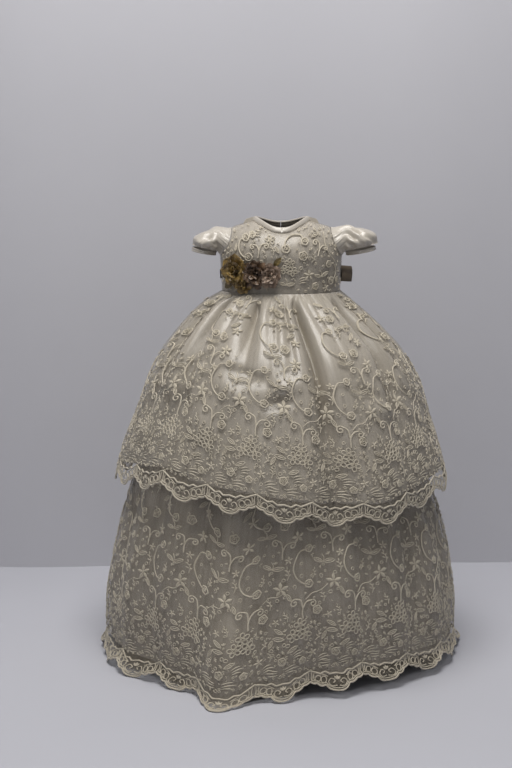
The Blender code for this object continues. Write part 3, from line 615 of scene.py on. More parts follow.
# One repeat of the lace: motif, place across and up in mm, its turn, and 1 if mirrored.
DENSE = (
    ("rose", (5.6,), -3.0, 62.0, 0, 0), ("spray", (21,), 4.0, 47.0, 2, 0),
    ("spray", (19,), -9.0, 46.0, 176, 0),
    ("spray", (18,), -30.0, 52.0, 8, 0), ("rose", (4.6,), 29.0, 56.0, 20, 0),
    ("solid_flower", (7.0,), -38.0, 66.0, 12, 0),
    ("leaf", (17,), 5.0, 74.0, 20, 0), ("spray", (17,), 14.0, 66.0, 10, 0),
    ("sprig", (13,), -21.0, 64.0, 12, 0),
    ("cluster", (), 25.0, 102.0, 0, 0), ("leaf", (18,), 1.0, 96.0, 172, 0),
    ("leaf", (16,), -1.0, 104.0, 150, 0),
    ("sprig", (14,), -34.0, 84.0, -20, 0), ("leaf", (14,), -22.0, 84.0, 60, 0),
    ("rose", (6.0,), -32.0, 130.0, 0, 0),
    ("solid_flower", (6.0,), -12.0, 122.0, 30, 0), ("sprig", (13,), 6.0, 122.0, 25, 0),
    ("heart", (21.0,), 30.0, 142.0, 0, 0), ("solid_flower", (12.0,), -4.0, 172.0, 8, 0),
    ("stem", ((-45, 150), (-34, 158), (-20, 160), (-8, 168)), 0.0, 0.0, 0, 0),
    ("sprig", (15,), -20.0, 142.0, 15, 0), ("leaf", (14,), 12.0, 152.0, 115, 0),
    ("c_scroll", (53, 20), 37.0, 198.0, 0, 0), ("leaf_pair", (19,), -19.0, 202.0, 0, 0),
    ("sprig", (16,), 8.0, 186.0, 10, 0), ("solid_flower", (6.5,), 8.0, 214.0, 0, 0),
    ("sprig", (13,), -36.0, 180.0, -10, 0),
)
# Further up the lace grows sparser.
SPARSE = (
    ("heart", (19.0,), -2.0, 236.0, 0, 0), ("solid_flower", (9.5,), 26.0, 246.0, 10, 0),
    ("leaf_pair", (17,), -30.0, 250.0, 10, 0), ("rose", (6.5,), 4.0, 268.0, 0, 0),
    ("c_scroll", (46, 17), -34.0, 290.0, 0, 0), ("leaf", (17,), 14.0, 290.0, 40, 0),
    ("solid_flower", (8.0,), 34.0, 284.0, 0, 0), ("sprig", (15,), -8.0, 300.0, 0, 0),
    ("leaf_pair", (17,), 22.0, 318.0, 190, 0), ("rose", (6.0,), -4.0, 336.0, 0, 0),
    ("heart", (17.0,), 30.0, 348.0, 0, 0), ("solid_flower", (8.0,), -30.0, 340.0, 0, 0),
    ("leaf", (16,), 2.0, 362.0, 140, 0),
)
MOTIFS = {
    "rosette": rosette, "c_scroll": c_scroll, "open_flower": open_flower, "cluster": cluster,
    "rose": rose, "solid_flower": solid_flower, "leaf": leaf, "leaf_pair": leaf_pair,
    "heart": heart, "stem": stem, "spray": spray, "sprig": sprig, "border": border,
    "ringlet": ringlet, "curl": curl, "bud": bud, "twig": twig,
}


def ribbon(line, width, height, closed):
    """A raised strip along a flat line: points (across, up, height) and quads."""
    line = np.asarray(line, float)
    count = len(line)
    if closed:
        along = np.roll(line, -1, 0) - np.roll(line, 1, 0)
    else:
        along = np.gradient(line, axis=0)
    along = along / np.maximum(np.linalg.norm(along, axis=1, keepdims=True), 1e-9)
    side = np.stack((-along[:, 1], along[:, 0]), axis=1)
    half = np.broadcast_to(np.asarray(width, float) / 2, (count,))[:, None]
    rows = [np.hstack((line + side * half * s, np.full((count, 1), h)))
            for s, h in ((-1, 0.0), (-0.45, height), (0.45, height), (1, 0.0))]
    points = np.stack(rows, axis=1).reshape(-1, 3)
    spans = count if closed else count - 1
    quads = []
    for k in range(spans):
        a, b = 4 * k, 4 * ((k + 1) % count)
        quads += [(a + j, a + j + 1, b + j + 1, b + j) for j in range(3)]
    return points, np.array(quads)


def motif_mesh(name, settings):
    """All the strips of a motif as one flat mesh."""
    points, quads, start = [], [], 0
    for line, width, height, closed in MOTIFS[name](*settings):
        p, q = ribbon(line, width, height, closed)
        points.append(p)
        quads.append(q + start)
        start += len(p)
    return np.vstack(points), np.vstack(quads)


def small_figures(table, wide, bands, seed):
    """Little rings, curls, buds and twigs in the ground that a table's figures leave free."""
    dice = random.Random(seed)
    taken = np.vstack([
        turned(motif_mesh(name, settings)[0][::3, :2], angle, across, up, bool(flip))
        for name, settings, across, up, angle, flip in table
    ])
    rows = []
    for low, high, count in bands:
        made = 0
        for _ in range(count * 9):
            x, y = dice.uniform(-wide / 2, wide / 2), dice.uniform(low, high)
            size = 1.5 + 0.4 * dice.randrange(5)
            aside = (taken[:, 0] - x + wide / 2) % wide - wide / 2
            if np.hypot(aside, taken[:, 1] - y).min() < size + 0.8:
                continue
            rows.append((dice.choice(("ringlet", "curl", "bud", "twig")), (size,), x, y,
                dice.uniform(0, 360), 0))
            taken = np.vstack((taken, arc(x, y, size * 0.8, 0, 300, 1.0, 6)))
            made += 1
            if made == count:
                break
    return rows


class Needlework:
    """Motifs laid on cloth, gathered into one mesh."""

    def __init__(self):
        self.points, self.quads, self.start, self.kept = [], [], 0, {}

    def lay(self, motif, angle, flip, place):
        """Puts a motif down; place turns its flat millimetres into points on the cloth."""
        name, settings = motif
        if motif not in self.kept:
            self.kept[motif] = motif_mesh(name, settings)
        flat, quads = self.kept[motif]
        moved = np.hstack((turned(flat[:, :2], angle, 0, 0, flip), flat[:, 2:]))
        points, inside = place(moved)
        quads = quads[:, ::-1] if flip else quads
        if inside is not None:
            quads = quads[inside[quads].all(axis=1)]
        self.points.append(points)
        self.quads.append(quads + self.start)
        self.start += len(points)


# ---- bodice ------------------------------------------------------------------
PANEL_ROWS = ((0, 90.0, 1.00), (1, 88.0, 0.93), (2, 81.4, 0.84), (3, 67.6, 0.74),
              (4, 45.0, 0.60), (5, 0.0, 0.42), (6, 0.0, 0.00))


def ridge_z(turn):
    share = min(max((turn - SHOULDER_TIP) / (NECK_POINT - SHOULDER_TIP), 0.0), 1.0)
    return mix(SHOULDER_Z, NECK_Z, share)


def top_z(turn, neck_z):
    if turn <= NECK_POINT:
        return ridge_z(turn)
    return mix(NECK_Z, neck_z, float(ease((turn - NECK_POINT) / 24)) ** 0.7)


def level(z, turn):
    """Height as a parameter: 0 at the waist, 1 at the chest, 2 at the ridge."""
    if z <= CHEST_Z:
        return (z - WAIST_Z) / (CHEST_Z - WAIST_Z)
    rise = min((z - CHEST_Z) / (ridge_z(turn) - CHEST_Z), 1.0)
    return 1 + 2 * atan2(rise, max(1e-9, (1 - rise * rise) ** 0.5)) / pi


def bodice_surface(side, face, turn, at):
    z, roof = mix(WAIST_Z, CHEST_Z, at), 1.0
    if at > 1:
        z = CHEST_Z + (ridge_z(turn) - CHEST_Z) * sin((at - 1) * pi / 2)
        roof = cos((at - 1) * pi / 2)
    ease_in = WAIST_EASE * (1 - min(at, 1.0))
    x = side * (HALF_WIDTH - ease_in) * cos(radians(turn))
    y = face * (HALF_DEPTH - ease_in) * sin(radians(turn)) * roof
    return Vector((x, y, z))


def bodice_point(side, face, turn, at, lift=0.0):
    across = bodice_surface(side, face, turn + 1, at) - bodice_surface(side, face, turn - 1, at)
    up = bodice_surface(side, face, turn, at + 0.01) - bodice_surface(side, face, turn, at - 0.01)
    normal = across.cross(up).normalized() * side * face
    point = bodice_surface(side, face, turn, at) + normal * lift
    point.y = face * max(face * point.y, 0.00015)
    return point


def armhole_edge(swing):
    """Turn and height on the armhole, for a swing of 0 under the arm to 90 at the shoulder."""
    height = mix(UNDERARM_Z, SHOULDER_Z, 1 - cos(radians(swing)))
    return SHOULDER_TIP * sin(radians(swing)), height


def panel_settings():
    """For each fine row: turn on the armhole, level on it as a share, level at the centre."""
    coarse = []
    for row, swing, share in PANEL_ROWS:
        turn, z = armhole_edge(swing)
        coarse.append((row, turn, level(z, turn) / 2 if share else 0.0, share))
    rows = np.linspace(0, 6, 37)
    fine = [np.interp(rows, [c[0] for c in coarse], [c[k] for c in coarse]) for k in (1, 2, 3)]
    swings = np.interp(rows, (0, 1, 2, 3, 4, 5, 6), [row[1] for row in PANEL_ROWS])
    for k, row in enumerate(rows):
        if row <= 5:
            turn, z = armhole_edge(swings[k])
            fine[0][k], fine[1][k] = turn, level(z, turn) / 2
    return list(zip(*fine))


def crumple(x, z, seed):
    """Faint drag lines of a fitted bodice."""
    total = 0.55 * sin(95 * x + 210 * z + seed) * sin(60 * z - 40 * x + 2 * seed)
    total += 0.35 * sin(170 * x - 150 * z + 3 * seed) + 0.25 * sin(330 * z + 120 * x + seed)
    return total


def panel_half(side, face, neck_z, lift, wobble=0.0):
    """Columns of points from the side to the centre, each from the top edge down."""
    columns = []
    for across in np.linspace(0, 1, 31):
        top_turn = mix(SHOULDER_TIP, 90.0, across)
        full = level(top_z(top_turn, neck_z), top_turn)
        column = []
        for edge_turn, edge_share, share in panel_settings():
            turn = mix(edge_turn, 90.0, across)
            at = full * mix(edge_share, share, across)
            spot = bodice_surface(side, face, turn, at)
            calm = min(1.0, 4 * across) * min(1.0, at * 3 + 0.2)
            push = wobble * calm * crumple(spot.x, spot.z, 1.0 + face)
            column.append(tuple(bodice_point(side, face, turn, at, lift + push)))
        columns.append(column)
    return np.array(columns)


def front_panel(lift, wobble=0.0):
    left = panel_half(-1, -1, FRONT_NECK_Z, lift, wobble)
    right = panel_half(1, -1, FRONT_NECK_Z, lift, wobble)
    return np.concatenate((left, right[-2::-1])).transpose(1, 0, 2)


def back_panel(side, lift, wobble=0.0):
    columns = panel_half(side, 1, BACK_NECK_Z, lift, wobble)
    columns[-1, :, 0] = side * 0.0003
    return (columns if side > 0 else columns[::-1]).transpose(1, 0, 2)


def bodice_lace_surface(face, lift):
    """The lace of a whole front or back: turn -90 to 90 from the centre, run up from the waist."""
    turns = np.linspace(-90, 90, 91)
    heights = np.arange(0, 0.113, 0.0028)
    grid = np.empty((len(heights), len(turns), 3))
    for r, height in enumerate(heights):
        for c, turn in enumerate(turns):
            side = (1 if turn > 0 else -1) * (1 if face < 0 else -1)
            from_side = 90 - abs(turn)
            at = min(level(WAIST_Z + height, from_side), 1.97)
            grid[r, c] = bodice_point(side, face, from_side, at, lift)
    return Surface(grid, -90.0, 2.0, 0.0028, False)


# Bodice lace: motif, place across from the centre and up from the waist in mm, turn, mirrored.
BODICE_LACE = (
    ("open_flower", (7.0,), 4.0, 39.0, 10, 0), ("open_flower", (7.4,), 15.0, 36.0, 40, 0),
    ("open_flower", (7.4,), 11.0, 49.0, 0, 0), ("rose", (6.2,), 31.0, 60.0, 0, 0),
    ("c_scroll", (30, 12), 18.0, 80.0, -68, 0), ("heart", (15.0,), 58.0, 74.0, -12, 0),
    ("leaf_pair", (15,), 62.0, 27.0, 20, 0),
    ("stem", ((66, 96), (68, 78), (77, 62), (92, 50)), 0.0, 0.0, 0, 0),
    ("solid_flower", (9.0,), 40.0, 30.0, 0, 0),
    ("sprig", (13,), 44.0, 50.0, -15, 0), ("leaf", (14,), 44.0, 88.0, 30, 0),
    ("spray", (15,), 26.0, 20.0, 8, 0),
    ("c_scroll", (28, 11), 84.0, 34.0, 15, 1), ("rose", (5.0,), 52.0, 12.0, 0, 0),
    ("leaf_pair", (13,), 6.0, 14.0, 5, 0),
    ("solid_flower", (7.0,), 72.0, 8.0, 20, 0), ("open_flower", (7.0,), -12.0, 20.0, 0, 0),
    ("sprig", (12,), -12.0, 62.0, 20, 0),
    ("leaf", (13,), -28.0, 12.0, 140, 0), ("heart", (15.0,), -32.0, 72.0, -10, 1),
    ("rose", (5.4,), -46.0, 22.0, 0, 0),
    ("c_scroll", (30, 11), -56.0, 72.0, 10, 0), ("open_flower", (7.4,), -17.0, 84.0, 10, 0),
    ("spray", (15,), -30.0, 94.0, 170, 0),
    ("solid_flower", (8.0,), -64.0, 50.0, 0, 0), ("leaf_pair", (13,), -62.0, 16.0, 30, 0),
    ("leaf", (12,), -4.0, 64.0, 120, 0),
    ("rose", (4.6,), -44.0, 92.0, 0, 0), ("solid_flower", (6.5,), -80.0, 30.0, 0, 0),
    ("rose", (4.6,), 100.0, 20.0, 0, 0),
    ("leaf", (12,), -74.0, 66.0, 80, 0),
)
BODICE_GROUND = small_figures(BODICE_LACE, 240.0, ((3, 108, 150),), 4)


def lay_bodice(work, surface, face, keep):
    for name, settings, across, up, angle, flip in BODICE_LACE + tuple(BODICE_GROUND):
        def place(flat):
            turn = (across + flat[:, 0]) / 0.001555 * 0.001
            run = (up + flat[:, 1]) * 0.001
            points = surface.at(turn, run, flat[:, 2] * 0.001)
            side_turn = 90 - np.abs(turn)
            height = WAIST_Z + run
            edge_swing = np.degrees(np.arccos(np.clip(1 - (height - UNDERARM_Z) / (SHOULDER_Z - UNDERARM_Z),
                -1, 1)))
            edge = np.where(height > UNDERARM_Z, SHOULDER_TIP * np.sin(np.radians(edge_swing)), 0.0)
            neck = FRONT_NECK_Z if face < 0 else BACK_NECK_Z
            tops = np.array([top_z(t, neck) for t in np.clip(side_turn, 0, 90)])
            inside = (side_turn > edge + 1.2) & (height < tops - 0.003) & (run > 0.002) & keep(points)
            return points, inside
        work.lay((name, settings), angle, flip, place)


# ---- sleeves -----------------------------------------------------------------
# Sections swung about the underarm: turn from upright, reach left and right, half depth.
SLEEVE_SECTIONS = ((3, 0.0425, 0.0435, 0.034), (25, 0.0365, 0.0410, 0.038), (45, 0.0375, 0.0465, 0.041),
                   (62, 0.0430, 0.0560, 0.039), (76, 0.0445, 0.0580, 0.033))
BAND_TURN, BAND_REACH, BAND_HALF_DEPTH = 79, (0.0430, 0.0520), 0.0320
SLEEVE_FOOT, SLEEVE_RISE = 0.0015, 0.0055
UNDERARM_ROUND = 0.0035

# Folds pressed into the puffs: side, share round (0.25 is the front), share out, half
# sizes, depth, and how far the fold slants.
SLEEVE_FOLDS = (
    (-1, 0.335, 0.52, 0.040, 0.17, 0.0060, 0.04), (-1, 0.20, 0.84, 0.060, 0.10, 0.0040, 0.10),
    (-1, 0.70, 0.50, 0.050, 0.24, 0.0040, -0.10), (-1, 0.22, 0.34, 0.030, 0.20, 0.0018, 0.10),
    (1, 0.400, 0.34, 0.026, 0.30, 0.0068, -0.18), (1, 0.30, 0.42, 0.024, 0.26, 0.0052, -0.16),
    (1, 0.20, 0.52, 0.024, 0.22, 0.0036, -0.10), (1, 0.36, 0.80, 0.030, 0.12, 0.0040, 0.10),
    (1, 0.68, 0.45, 0.045, 0.26, 0.0045, -0.12),
)


def armhole(side, share):
    """Point on the armhole's edge: 0 under the arm, 0.5 at the shoulder, forward first."""
    face = -1 if share <= 0.5 else 1
    turn, z = armhole_edge(180 * min(share, 1 - share))
    return bodice_point(side, face, turn, level(z, turn))


def section_point(side, turn, reach, half_depth, share):
    foot = UNDERARM_Z + SLEEVE_FOOT + SLEEVE_RISE * min(1, turn / 45)
    pivot = Vector((side * (HALF_WIDTH + 0.0035), 0, foot))
    ray = Vector((side * sin(radians(turn)), 0, cos(radians(turn))))
    out = UNDERARM_ROUND + (reach - UNDERARM_ROUND) / 2 * (1 - cos(2 * pi * share))
    return pivot + ray * out + Vector((0, -half_depth * sin(2 * pi * share), 0))


def spline(rows, count):
    """Rows of points joined by a smooth curve."""
    rows = np.asarray(rows, float)
    padded = np.concatenate((2 * rows[:1] - rows[1:2], rows, 2 * rows[-1:] - rows[-2:-1]))
    at = np.linspace(0, len(rows) - 1, count)
    low = np.minimum(at.astype(int), len(rows) - 2)
    t = (at - low).reshape((-1,) + (1,) * (rows.ndim - 1))
    a, b, c, d = (padded[low + k] for k in range(4))
    return 0.5 * (2 * b + (c - a) * t + (2 * a - 5 * b + 4 * c - d) * t ** 2 + (3 * b - a - 3 * c + d) * t ** 3)


def grid_normals(grid, closed):
    across = (np.roll(grid, -1, 1) - np.roll(grid, 1, 1)) if closed else np.gradient(grid, axis=1)
    normal = np.cross(np.gradient(grid, axis=0), across)
    return normal / np.maximum(np.linalg.norm(normal, axis=2, keepdims=True), 1e-12)


def sleeve_grid(side):
    shares = np.arange(112) / 112
    root = []
    for share in shares:
        edge = armhole(side, share)
        middle = Vector((edge.x, 0, (UNDERARM_Z + SHOULDER_Z) / 2))
        root.append(tuple(edge + (edge - middle).normalized() * 0.0006 + Vector((side * 0.0010, 0, 0))))
    rings = [root]
    for turn, left, right, deep in SLEEVE_SECTIONS:
        reach = left if side < 0 else right
        rings.append([tuple(section_point(side, turn, reach, deep, s)) for s in shares])
    grid = spline(rings, 44)
    normals = grid_normals(grid, True) * side
    out = np.linspace(0, 1, 44)[:, None]
    round_ = shares[None, :]
    crown = np.sin(pi * round_) ** 0.5
    push = 0.0036 * ease(out / 0.25) * ease((1 - out) / 0.22) * crown
    for count, deep, near, far in ((30, 0.0013, 0.0, 0.30), (17, 0.0010, 0.0, 0.46)):
        waves = np.abs(np.cos(pi * count * round_ + 1.3 * np.sin(6 * pi * round_)))
        push = push - deep * (1 - waves) * ease(out / 0.05) * ease(1 - out / far) * crown
    for count, deep in ((26, 0.0011), (15, 0.0012)):
        waves = np.abs(np.cos(pi * count * round_ + 0.9 * np.sin(4 * pi * round_ + count)))
        push = push - deep * (1 - waves) * ease((out - 0.50) / 0.40) * ease((1 - out) / 0.02) * crown
    for which, centre, at, half, tall, deep, slant in SLEEVE_FOLDS:
        if which == side:
            away = (round_ - centre - slant * (out - at)) / half
            push = push - deep * np.exp(-away ** 2 - ((out - at) / tall) ** 2)
            push = push + 0.35 * deep * np.exp(-(np.abs(away) - 1.7) ** 2 - ((out - at) / tall) ** 2)
    return grid + normals * push[..., None]


def band_grid(side):
    reach = BAND_REACH[0] if side < 0 else BAND_REACH[1]
    turn = radians(BAND_TURN)
    onward = Vector((side * cos(turn), 0, -sin(turn)))
    shares = np.arange(112) / 112
    top = np.array([tuple(section_point(side, BAND_TURN, reach, BAND_HALF_DEPTH, s)) for s in shares])
    away = top - top.mean(axis=0)
    away /= np.linalg.norm(away, axis=1, keepdims=True)
    rows = []
    for along, out in ((0.0012, -0.0004), (0.0016, 0.0005), (0.0026, 0.0010), (0.0042, 0.0005),
        (0.0049, 0.0002),
                       (0.0056, 0.0006), (0.0068, 0.0009), (0.0076, 0.0004), (0.0077, -0.0006),
                       (0.0060, -0.0010)):
        rows.append(top + np.array(tuple(onward)) * along + away * out)
    return np.array(rows)


# ---- neck binding, sash, bow and buttons ---------------------------------------
def binding_grid():
    turns = np.linspace(54.0, 90.0, 28)

    def run(side, face, neck_z):
        return [bodice_point(side, face, t, level(top_z(t, neck_z), t)) for t in turns]

    left_back, left_front = run(-1, 1, BACK_NECK_Z), run(-1, -1, FRONT_NECK_Z)
    right_front, right_back = run(1, -1, FRONT_NECK_Z), run(1, 1, BACK_NECK_Z)
    path = left_back[::-1] + left_front + right_front[::-1] + right_back
    path[0].x, path[-1].x = -0.0004, 0.0004
    path = np.array([tuple(p) for p in path])
    rows = []
    for rise, out in ((0.0050, -0.0014), (0.0068, -0.0010), (0.0076, 0.0002), (0.0070, 0.0014),
        (0.0048, 0.0021), (0.0024, 0.0025), (0.0002, 0.0026), (-0.0006, 0.0018)):
        shrink = 1 - 0.03 * (rise - 0.0024) / 0.0045
        row = path * np.array((shrink, shrink, 1.0)) + np.array((0, 0, rise))
        away = row * np.array((1, 1, 0))
        rows.append(row + away / np.linalg.norm(away, axis=1, keepdims=True) * out)
    return np.array(rows)


BOW = np.array((0.010, 0.0905, 0.626))
LOOP_REACH, LOOP_DEPTH, LOOP_WIDTH = (-0.098, 0.113), 0.019, (0.015, 0.026)
TAIL_WIDTH, TAIL_END_Z, TAIL_SPREAD = 0.020, 0.455, 0.0055
TAIL_BEARINGS = ((93, 101), (84, 78))


def sash_grid(side):
    turns = np.linspace(0, 79.0, 40)
    rows = []
    for k, z in enumerate(np.linspace(0.6335, 0.6185, 9)):
        row = []
        for turn in turns:
            lift = 0.0030 + 0.0006 * sin(2.6 * k + 0.09 * turn) * float(ease(turn / 30))
            gather = 1 - 0.25 * float(ease((turn - 50) / 30))
            row.append(tuple(bodice_point(side, 1, turn, level(0.626 + (z - 0.626) * gather, turn), lift)))
        rows.append(row if side > 0 else row[::-1])
    return np.array(rows)


def loop_grid(side):
    reach = LOOP_REACH[0] if side < 0 else LOOP_REACH[1]
    turn = np.arange(56) / 56 * 2 * pi + 0.03
    along = (1 - np.cos(turn)) / 2
    across = np.sin(turn) * LOOP_DEPTH / 2 * (0.75 + 0.35 * along)
    rows = []
    for share in np.linspace(1, -1, 13):
        width = mix(LOOP_WIDTH[0], LOOP_WIDTH[1], ease(along * 1.4)) / 2
        pleat = 0.0016 * np.cos(share * 8.5) * ease(1 - along / 0.55) + 0.0007 * np.sin(5 * share + 9 * along)
        sag = -0.004 * along - 0.002 * share * share * along
        x = BOW[0] + mix(side * 0.0105, reach, along) - side * 0.0015 * share * share * along
        y = BOW[1] + across + pleat - 0.004 * along
        rows.append(np.stack((x, y, BOW[2] + sag + share * width), axis=1))
    grid = np.array(rows)
    return grid if side < 0 else grid[:, ::-1]


def knot_grid():
    turn = np.arange(40) / 40 * 2 * pi
    rows = []
    for share in np.linspace(1, -1, 15):
        swell = (1 - 0.42 * abs(share) ** 3)
        crease = 1 + 0.06 * np.cos(9 * turn + 2.5 * share) * (1 - 0.5 * abs(share))
        rows.append(np.stack((
            BOW[0] + 0.0092 * swell * crease * np.cos(turn), BOW[1] + 0.0068 * swell * crease * np.sin(turn),
            np.full(40, BOW[2] + 0.0102 * share)), axis=1))
    return np.array(rows)


def tail_grid(which):
    start, end = TAIL_BEARINGS[which]
    middle = BOW[0] + (-TAIL_SPREAD, TAIL_SPREAD)[which]
    first = [(middle - half, BOW[1] - 0.002, BOW[2] - 0.0135) for half in np.linspace(0.004, -0.004, 9)]
    rows = [first]
    for share in np.linspace(0, 1, 34) ** 0.95:
        z = mix(0.590, TAIL_END_Z, share)
        bearing = mix(start, end, share)
        near = bearing + np.linspace(-7, 7, 9)
        reach = float(np.max(upper_lace_reach(near, np.full(9, z)))) + 0.0042
        half = TAIL_WIDTH / 2 * mix(0.7, 1.0, float(ease(share * 2)))
        row = []
        for across in np.linspace(1, -1, 9):
            notch = 0.010 * float(ease((share - 0.86) / 0.14)) * (abs(across) - 0.5)
            swing = bearing + np.degrees(across * half / reach)
            lift = 0.0016 * sin(9 * share + 2.2 * across) * share
            row.append(tuple(on_bearing(swing, reach + lift, z - notch, smooth(UPPER_PROFILE, z, 3))))
        rows.append(row)
    return spline(rows, 48)


# ---- corsage -----------------------------------------------------------------
def front_frame(x, z):
    """Point on the front's satin at a place across and up, and its outward normal."""
    def point(px, pz):
        low, high = 0.0, 90.0
        for _ in range(30):
            middle = (low + high) / 2
            wide = abs(bodice_surface(-1, -1, middle, level(pz, middle)).x) > abs(px)
            low, high = (middle, high) if wide else (low, middle)
        return Vector((px, bodice_surface(-1, -1, low, level(pz, low)).y, pz))
    across = point(x + 0.0005, z) - point(x - 0.0005, z)
    up = point(x, z + 0.0005) - point(x, z - 0.0005)
    return np.array(tuple(point(x, z))), np.array(tuple(across.cross(up).normalized()))


def petal(length, width, cup, curl, seed):
    """Crinkled petal growing along +X, hollow side up."""
    dice = random.Random(seed)
    phases = [dice.uniform(0, 2 * pi) for _ in range(4)]
    out, over = np.meshgrid(np.linspace(0, 1, 8), np.linspace(-1, 1, 9))
    outline = np.sin(pi * np.clip(0.10 + 0.62 * out, 0, 1)) ** 0.75
    edge = 1 + 0.10 * np.sin(3.5 * over + phases[0]) * out
    x = length * out * edge * (1 - 0.16 * over ** 2 * out)
    y = width * over * outline
    z = cup * out ** 1.4 - curl * out ** 5 + 0.30 * cup * over ** 2 * (1 - 0.4 * out)
    frill = length * 0.085 * out ** 1.5
    z = z + frill * np.sin(6.2 * over + phases[1]) + 0.6 * frill * np.sin(11.0 * over + 3 * out + phases[2])
    z = z + length * 0.025 * np.sin(14 * out + 4 * over + phases[3])
    return np.stack((x, y, z), axis=2)


def frame_of(x, z, stand):
    spot, out = front_frame(x, z)
    right = np.cross((0.0, 0.0, 1.0), out)
    right /= np.linalg.norm(right)
    return spot + out * stand, right, np.cross(out, right), out


def rose_grids(x, z, radius, layers, seed, stand=0.0030):
    """Petals in whorls about the rose's heart, the inner ones standing up."""
    base, right, up, out = frame_of(x, z, stand)
    dice = random.Random(seed)
    grids = []
    for count, reach, tilt, height in layers:
        offset = dice.uniform(0, 360)
        for k in range(count):
            size = radius * reach * dice.uniform(0.88, 1.10)
            petal_grid = petal(size, size * dice.uniform(0.52, 0.66), size * 0.22, size * 0.20,
                seed * 100 + k + int(tilt))
            lean = radians(tilt + dice.uniform(-8, 8))
            px = petal_grid[..., 0] * cos(lean) - petal_grid[..., 2] * sin(lean) + radius * 0.07
            pz = petal_grid[..., 0] * sin(lean) + petal_grid[..., 2] * cos(lean) + height * radius
            turn = radians(offset + 360 * k / count + dice.uniform(-9, 9))
            lx = px * cos(turn) - petal_grid[..., 1] * sin(turn)
            ly = px * sin(turn) + petal_grid[..., 1] * cos(turn)
            place = base + lx[..., None] * right + ly[..., None] * up + np.maximum(pz, 0.0002)[...,
                None] * out
            grids.append(place)
    return grids


def leaf_grid(x, z, heading, length, width, stand):
    base, right, up, out = frame_of(x, z, stand)
    share, over = np.meshgrid(np.linspace(0, 1, 10), np.linspace(-1, 1, 7))
    turn = radians(heading)
    along = length * share
    across = width * over * np.sin(pi * np.clip(share * 0.94 + 0.03, 0, 1)) ** 0.8
    height = 0.0012 * np.abs(over) + 0.0022 * np.sin(pi * share) + 0.0005 * np.sin(22 * share + 3 * over)
    lx, ly = along * cos(turn) - across * sin(turn), along * sin(turn) + across * cos(turn)
    return base + lx[..., None] * right + ly[..., None] * up + height[..., None] * out


# ---- materials -----------------------------------------------------------------
def shader(name, colour, rough, sheen=0.0, anisotropic=0.0, specular=0.5, coat=0.0):
    material = bpy.data.materials.new(name)
    material.use_nodes = True
    tree = material.node_tree
    skin = tree.nodes["Principled BSDF"]
    skin.inputs["Base Color"].default_value = (*colour, 1.0)
    skin.inputs["Roughness"].default_value = rough
    skin.inputs["Sheen Weight"].default_value = sheen
    skin.inputs["Sheen Roughness"].default_value = 0.45
    skin.inputs["Anisotropic"].default_value = anisotropic
    skin.inputs["Specular IOR Level"].default_value = specular
    skin.inputs["Coat Weight"].default_value = coat
    return material, tree, skin


def node(tree, kind, inputs=(), **settings):
    made = tree.nodes.new(kind)
    for key, value in settings.items():
        setattr(made, key, value)
    for key, value in dict(inputs).items():
        made.inputs[key].default_value = value
    return made


def mottled(tree, skin, colour, other, scale, amount_low=0.35, amount_high=0.65):
    """Colour that drifts a little between two tones."""
    place = node(tree, "ShaderNodeTexCoord")
    noise = node(tree, "ShaderNodeTexNoise", {"Scale": scale, "Detail": 4.0, "Roughness": 0.6})
    ramp = node(tree, "ShaderNodeValToRGB")
    ramp.color_ramp.elements[0].position, ramp.color_ramp.elements[1].position = amount_low, amount_high
    ramp.color_ramp.elements[0].color = (*colour, 1.0)
    ramp.color_ramp.elements[1].color = (*other, 1.0)
    tree.links.new(place.outputs["Object"], noise.inputs["Vector"])
    tree.links.new(noise.outputs["Fac"], ramp.inputs["Fac"])
    tree.links.new(ramp.outputs["Color"], skin.inputs["Base Color"])
    return place


def bumped(tree, skin, place, scale, strength, distance, detail=3.0):
    noise = node(tree, "ShaderNodeTexNoise", {"Scale": scale, "Detail": detail, "Roughness": 0.65})
    bump = node(tree, "ShaderNodeBump", {"Strength": strength, "Distance": distance})
    tree.links.new(place.outputs["Object"], noise.inputs["Vector"])
    tree.links.new(noise.outputs["Fac"], bump.inputs["Height"])
    tree.links.new(bump.outputs["Normal"], skin.inputs["Normal"])
    return bump


def satin_material(name, paint_pleat_shade):
    """Satin; under the upper lace it turns golden brown in the pleats: painted shade in the creases, set by the
    fold attribute.
    """
    material, tree, skin = shader(name, SATIN, 0.33, sheen=0.05, specular=0.85)
    place = mottled(tree, skin, SATIN, tuple(0.94 * c for c in SATIN), 26.0)
    bumped(tree, skin, place, 75.0, 0.22, 0.0012, 4.0)
    if paint_pleat_shade:
        # Painted shade: the fold attribute mixes the colour towards dark golden brown (0.20, 0.165, 0.115) in
        # the pleats.
        fold = node(tree, "ShaderNodeAttribute", attribute_name="fold", attribute_type="GEOMETRY")
        pleat_shade_mix = node(tree, "ShaderNodeMix", {7: (0.20, 0.165, 0.115, 1.0)}, data_type="RGBA")
        tree.links.new(fold.outputs["Fac"], pleat_shade_mix.inputs[0])
        tree.links.new(skin.inputs["Base Color"].links[0].from_socket, pleat_shade_mix.inputs[6])
        tree.links.new(pleat_shade_mix.outputs[2], skin.inputs["Base Color"])
    return material


def thread_material(name, colour):
    material, tree, skin = shader(name, colour, 0.58, sheen=0.25, specular=0.35)
    place = mottled(tree, skin, colour, tuple(0.80 * c for c in colour), 170.0)
    bumped(tree, skin, place, 1500.0, 0.5, 0.0006, 1.0)
    return material


